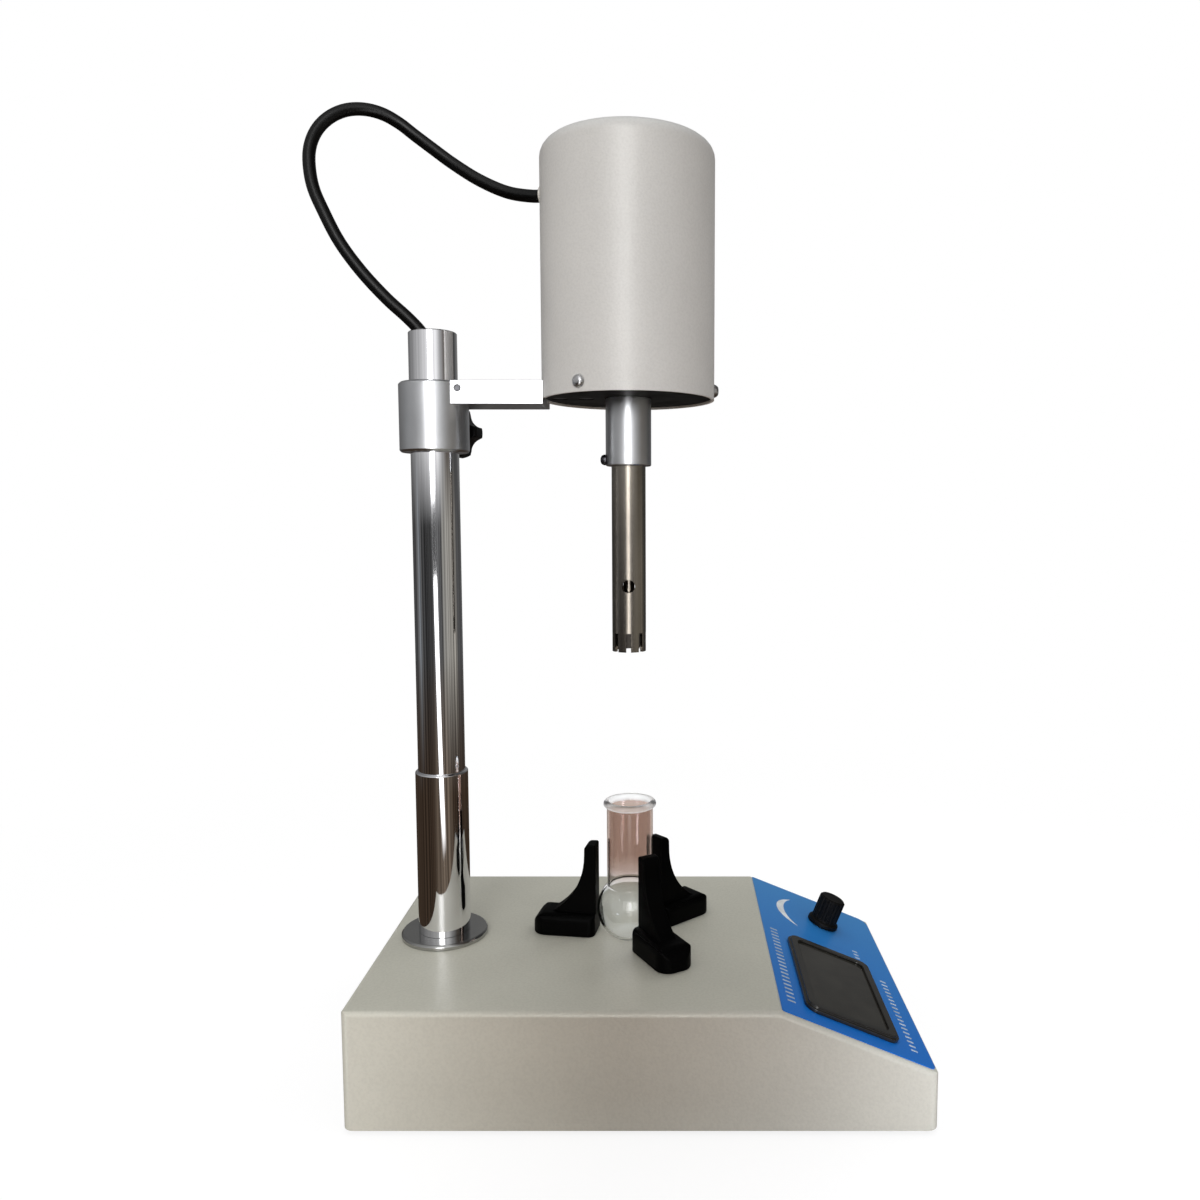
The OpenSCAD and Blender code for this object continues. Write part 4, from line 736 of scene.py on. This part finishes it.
def tick_row(name, s, first, last, pitch, across):
    """Plain ticks down the panel's depth, s millimetres from its top edge."""
    count = int(abs(last - first) / pitch) + 1
    places = [Vector((s, first - k * pitch, 0)) * MM + Vector((0, 0, LABEL_T)) for k in range(count)]
    made = grown(
        name, tick_tree, [on_panel @ p for p in places], [panel_up] * count,
        Across=across * MM, Along=TICK_W, Ink=2 * INK,
    )
    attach(made, "stand")


tick_row("upper_ticks", 7.5, 10, -70, 4, 4.2)
tick_row("lower_ticks", 71, -4, -72, 4, 3.4)
tick_row("knob_ticks", 60, 24, 16, 4, 3.0)
print("ticks made")

# %% [markdown]
# Chrome has no colour of its own: it shows the room. So the room is drawn for mirrors only, as a tone
# for each compass angle round the stand. High up it is bright behind the camera, where a tall window
# stands, grey to the left, and warm and dark to the right. Low down furniture makes it dark on the left
# and beige on the right. Paint is lit by plain grey light instead, and the camera and the glass see
# white.


# %% Room
def grey(tone):
    return (tone, tone, tone)


def mixed_colour(tree, share, first, second, blend="MIX"):
    return node(tree, "Mix", out=2, data_type="RGBA", blend_type=blend, i0=share, i6=first, i7=second)


def compass(tree, place, centre=(0, 0, 0)):
    """The compass angle of a place about a centre, as a share of a turn; 0.5 is towards the camera."""
    away = node(tree, "VectorMath", operation="SUBTRACT", i0=place, i1=centre)
    apart = tree.nodes.new("ShaderNodeSeparateXYZ")
    tree.links.new(away, apart.inputs[0])
    back = maths(tree, "MULTIPLY", apart.outputs["Y"], -1.0)
    turn = maths(tree, "ARCTAN2", apart.outputs["X"], back)
    return node(tree, "MapRange", Value=turn, From_Min=-math.pi, From_Max=math.pi)


def by_angle(stops):
    """Ramp stops from compass angles; 0 is towards the camera and right is positive."""
    return [((angle + 180) / 360, colour) for angle, colour in stops]


def ray_kinds(tree):
    """1 for rays from the camera or through glass, and 1 for rays from a mirror, less inside glass."""
    rays = tree.nodes.new("ShaderNodeLightPath").outputs
    through = rays["Is Transmission Ray"]
    straight = maths(tree, "MAXIMUM", rays["Is Camera Ray"], through)
    bounced = node(tree, "Math", operation="SUBTRACT", use_clamp=True, i0=rays["Is Glossy Ray"], i1=through)
    inside = maths(tree, "GREATER_THAN", rays["Transmission Depth"], 0.5)
    kept = maths(tree, "SUBTRACT", 1.0, maths(tree, "MULTIPLY", inside, 1 - GLASS_EDGE))
    return straight, maths(tree, "MULTIPLY", bounced, kept)


def streaked(tree, share, tone, count, dim, bright):
    """A tone broken into upright streaks, as shelves and door frames do in a mirror."""
    fine = maths(tree, "MULTIPLY", share, count)
    noise = node(tree, "TexNoise", noise_dimensions="1D", W=fine, Scale=1.0, Detail=2.0)
    bars = ramp(tree, noise, (0.35, grey(dim)), (0.65, grey(bright)))
    return mixed_colour(tree, 1.0, tone, bars, "MULTIPLY")


ROOM = (
    (-180, grey(0.22)), (-140, grey(0.16)), (-110, grey(0.24)), (-80, grey(0.38)), (-55, grey(0.52)),
    (-30, grey(0.72)), (-8, grey(1.0)), (34, grey(0.95)), (47, grey(0.36)), (68, (0.12, 0.1, 0.085)),
    (105, grey(0.06)), (135, grey(0.07)), (160, grey(0.22)), (180, grey(0.25)),
)
LOW_ROOM = (
    (-180, grey(0.1)), (-112, grey(0.05)), (-98, grey(0.14)), (-84, (0.26, 0.28, 0.3)), (-72, grey(0.09)),
    (-50, grey(0.04)), (-16, grey(0.05)), (-6, grey(0.12)), (12, grey(0.14)), (30, grey(0.1)),
    (44, (0.33, 0.32, 0.29)), (100, (0.36, 0.34, 0.3)), (118, grey(0.08)), (180, grey(0.1)),
)
WINDOW = ((-13, grey(0.0)), (-8, grey(1.0)), (7, grey(1.0)), (12, grey(0.0)))
WINDOW_GLOW = 6.0
GLASS_EDGE = 0.3
WALL_STREAKS = (24, 0.85, 1.1)
LOW_STREAKS = (45, 0.5, 1.4)
DAYLIGHT = 0.42
WHITE = (1, 1, 1, 1)
world = bpy.data.worlds.new("studio")
world.use_nodes = True
scene.world = world
tree = world.node_tree
aim = node(tree, "TexCoord", out="Generated")
share = compass(tree, aim)
aim_up = node(tree, "SeparateXYZ", out="Z", Vector=aim)
level = node(tree, "MapRange", Value=aim_up, From_Min=-0.2, From_Max=0.8)
high_up = ramp(tree, level, (0.19, grey(0.0)), (0.27, grey(1.0)))
upper = streaked(tree, share, ramp(tree, share, *by_angle(ROOM)), *WALL_STREAKS)
lower = streaked(tree, share, ramp(tree, share, *by_angle(LOW_ROOM)), *LOW_STREAKS)
walls = mixed_colour(tree, high_up, lower, upper)
pane = ramp(tree, level, (0.21, grey(0.0)), (0.24, grey(1.0)), (0.7, grey(1.0)), (0.85, grey(0.0)))
window = maths(tree, "MULTIPLY", ramp(tree, share, *by_angle(WINDOW)), pane)
mirrored = mixed_colour(tree, 1.0, walls, maths(tree, "MULTIPLY", window, WINDOW_GLOW), "ADD")
straight, mirror = ray_kinds(tree)
plain = mixed_colour(tree, straight, (*grey(DAYLIGHT), 1), WHITE)
tree.links.new(mixed_colour(tree, mirror, plain, mirrored), tree.nodes["Background"].inputs["Color"])
tree.nodes["Background"].inputs["Strength"].default_value = 1.0
print("room of", len(ROOM) + len(LOW_ROOM), "tones")

# %% [markdown]
# The bench is a pale sheet that takes the object's shadow and fades to pure white further out, so that
# no horizon shows. Light that bounces off it is warm, as off a table. Mirrors see a brown table there,
# which is what turns the column's foot brown. Far out the brown passes into the walls' tones, because a
# table in a mirror has no hard end either. A strip of window light lies on the table in front, and puts
# the long streak on the tool.

# %% Bench
BENCH = 4.0
SHEET = (*grey(0.19), 1)
SHEET_GLOW = 0.86
SHEET_EDGE = (0.25, 0.7)
PAPER = (0.54, 0.45, 0.37, 1)
COLUMN = (-0.11, 0, 0)
WOOD = (0.045, 0.03, 0.02)
LIT_WOOD = (0.15, 0.115, 0.085)
NEAR_WOOD = 0.5
FAR_WOOD = 1.5
TOOL = (-0.008, 0, 0)
GLINT = ((-10, grey(0.0)), (-3, grey(1.0)), (5, grey(1.0)), (11, grey(0.0)))
GLINT_GLOW = 4.2
GLINT_EDGE = (0.3, 0.5)
bench_mesh = bpy.data.meshes.new("bench")
bench_mesh.from_pydata(
    [(-BENCH, -BENCH, 0), (BENCH, -BENCH, 0), (BENCH, BENCH, 0), (-BENCH, BENCH, 0)], [], [(0, 1, 2, 3)]
)
bench = bpy.data.objects.new("bench", bench_mesh)
scene.collection.objects.link(bench)
bench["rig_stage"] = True
tree, shader, place = finish("bench_sheet")
tree.nodes.remove(shader)
out_there = node(tree, "VectorMath", out="Value", operation="LENGTH", i0=place)
fade = node(tree, "MapRange", Value=out_there, From_Min=SHEET_EDGE[0], From_Max=SHEET_EDGE[1])
sheet = node(tree, "BsdfDiffuse", Color=SHEET)
glow = node(tree, "Emission", Color=WHITE, Strength=SHEET_GLOW)
shadowed = node(tree, "AddShader", i0=sheet, i1=glow)
far_white = node(tree, "Emission", Color=WHITE, Strength=1.0)
white = node(tree, "MixShader", i0=fade, i1=shadowed, i2=far_white)
share = compass(tree, place, COLUMN)
wood = ramp(tree, share, *by_angle(((-25, WOOD), (0, LIT_WOOD), (45, LIT_WOOD), (60, WOOD))))
walls = ramp(tree, share, *by_angle(LOW_ROOM))
from_column = node(tree, "VectorMath", out="Value", operation="DISTANCE", i0=place, i1=COLUMN)
far = node(tree, "MapRange", Value=from_column, From_Min=NEAR_WOOD, From_Max=FAR_WOOD)
table = streaked(tree, share, mixed_colour(tree, far, wood, walls), *LOW_STREAKS)
from_tool = node(tree, "VectorMath", out="Value", operation="DISTANCE", i0=place, i1=TOOL)
reach_out = node(
    tree, "MapRange", Value=from_tool, From_Min=GLINT_EDGE[0], From_Max=GLINT_EDGE[1], To_Max=GLINT_GLOW
)
glint = maths(tree, "MULTIPLY", ramp(tree, compass(tree, place, TOOL), *by_angle(GLINT)), reach_out)
table = mixed_colour(tree, 1.0, table, glint, "ADD")
straight, mirror = ray_kinds(tree)
paper = node(tree, "BsdfDiffuse", Color=PAPER)
lit = node(tree, "MixShader", i0=straight, i1=paper, i2=white)
both = node(tree, "MixShader", i0=mirror, i1=lit, i2=node(tree, "Emission", Color=table, Strength=1.0))
tree.links.new(both, tree.nodes["Material Output"].inputs["Surface"])
bench_mesh.materials.append(bpy.data.materials["bench_sheet"])
print("bench ready")

# %% [markdown]
# One large soft lamp stands behind the camera, a little to the left, and a weaker one hangs above. A
# brown flag close in front of the base takes some of that light off the middle of its front, as the
# photographer's own shadow does. Two small fills brighten the front's two ends, and one behind the
# base its top on the right. Mirrors don't see the lamps, because the room has its own window.


# %% Lamps and flag
def lamp(name, place, aim, size, power, colour=(1, 1, 1)):
    data = bpy.data.lights.new(name, "AREA")
    data.shape = "RECTANGLE"
    data.size, data.size_y = size
    data.energy = power
    data.color = colour
    made = bpy.data.objects.new(name, data)
    made.location = place
    made.rotation_euler = (Vector(aim) - Vector(place)).to_track_quat("-Z", "Y").to_euler()
    made.visible_glossy = made.visible_camera = False
    scene.collection.objects.link(made)


def flag(name, corners, colour):
    """A sheet that stops light and is never seen itself."""
    mesh = bpy.data.meshes.new(name)
    mesh.from_pydata(corners, [], [tuple(range(len(corners)))])
    tree, shader, _ = finish(name)
    tree.nodes.remove(shader)
    cloth = node(tree, "BsdfDiffuse", Color=(*colour, 1))
    tree.links.new(cloth, tree.nodes["Material Output"].inputs["Surface"])
    mesh.materials.append(bpy.data.materials[name])
    made = bpy.data.objects.new(name, mesh)
    scene.collection.objects.link(made)
    made.visible_camera = made.visible_glossy = made.visible_transmission = False
    made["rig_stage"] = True


COOL = (0.92, 0.97, 1.14)
BROWN = (0.4, 0.18, 0.07)
FLAG_HALF, FLAG_Y, FLAG_LOW, FLAG_HIGH = 0.1, -0.26, 0.05, 0.24
lamp("key_lamp", (-0.35, -1.9, 0.95), (0, 0, 0.25), (1.2, 1.2), 19)
lamp("top_lamp", (0, 0.1, 2.0), (0, 0, 0), (1.6, 1.6), 8.5)
lamp("left_fill", (-0.2, -0.22, 0.03), (-0.14, -0.085, 0.03), (0.06, 0.04), 0.06, COOL)
lamp("right_fill", (0.19, -0.22, 0.03), (0.14, -0.085, 0.03), (0.06, 0.04), 0.15, COOL)
lamp("back_fill", (0.3, 0.3, 0.5), (0.05, 0.02, 0.06), (0.2, 0.2), 0.38)
flag_corners = [
    (-FLAG_HALF, FLAG_Y, FLAG_LOW), (FLAG_HALF, FLAG_Y, FLAG_LOW),
    (FLAG_HALF, FLAG_Y, FLAG_HIGH), (-FLAG_HALF, FLAG_Y, FLAG_HIGH),
]
flag("brown_flag", flag_corners, BROWN)
print("lamps and flag ready")

# %% [markdown]
# Last, the box of the finished look is printed. It has to agree with the CAD's own box, because
# Blender gives the object its looks and never its size.

# %% Size and finish
low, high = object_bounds()
print("visual box", tuple(low), tuple(high))
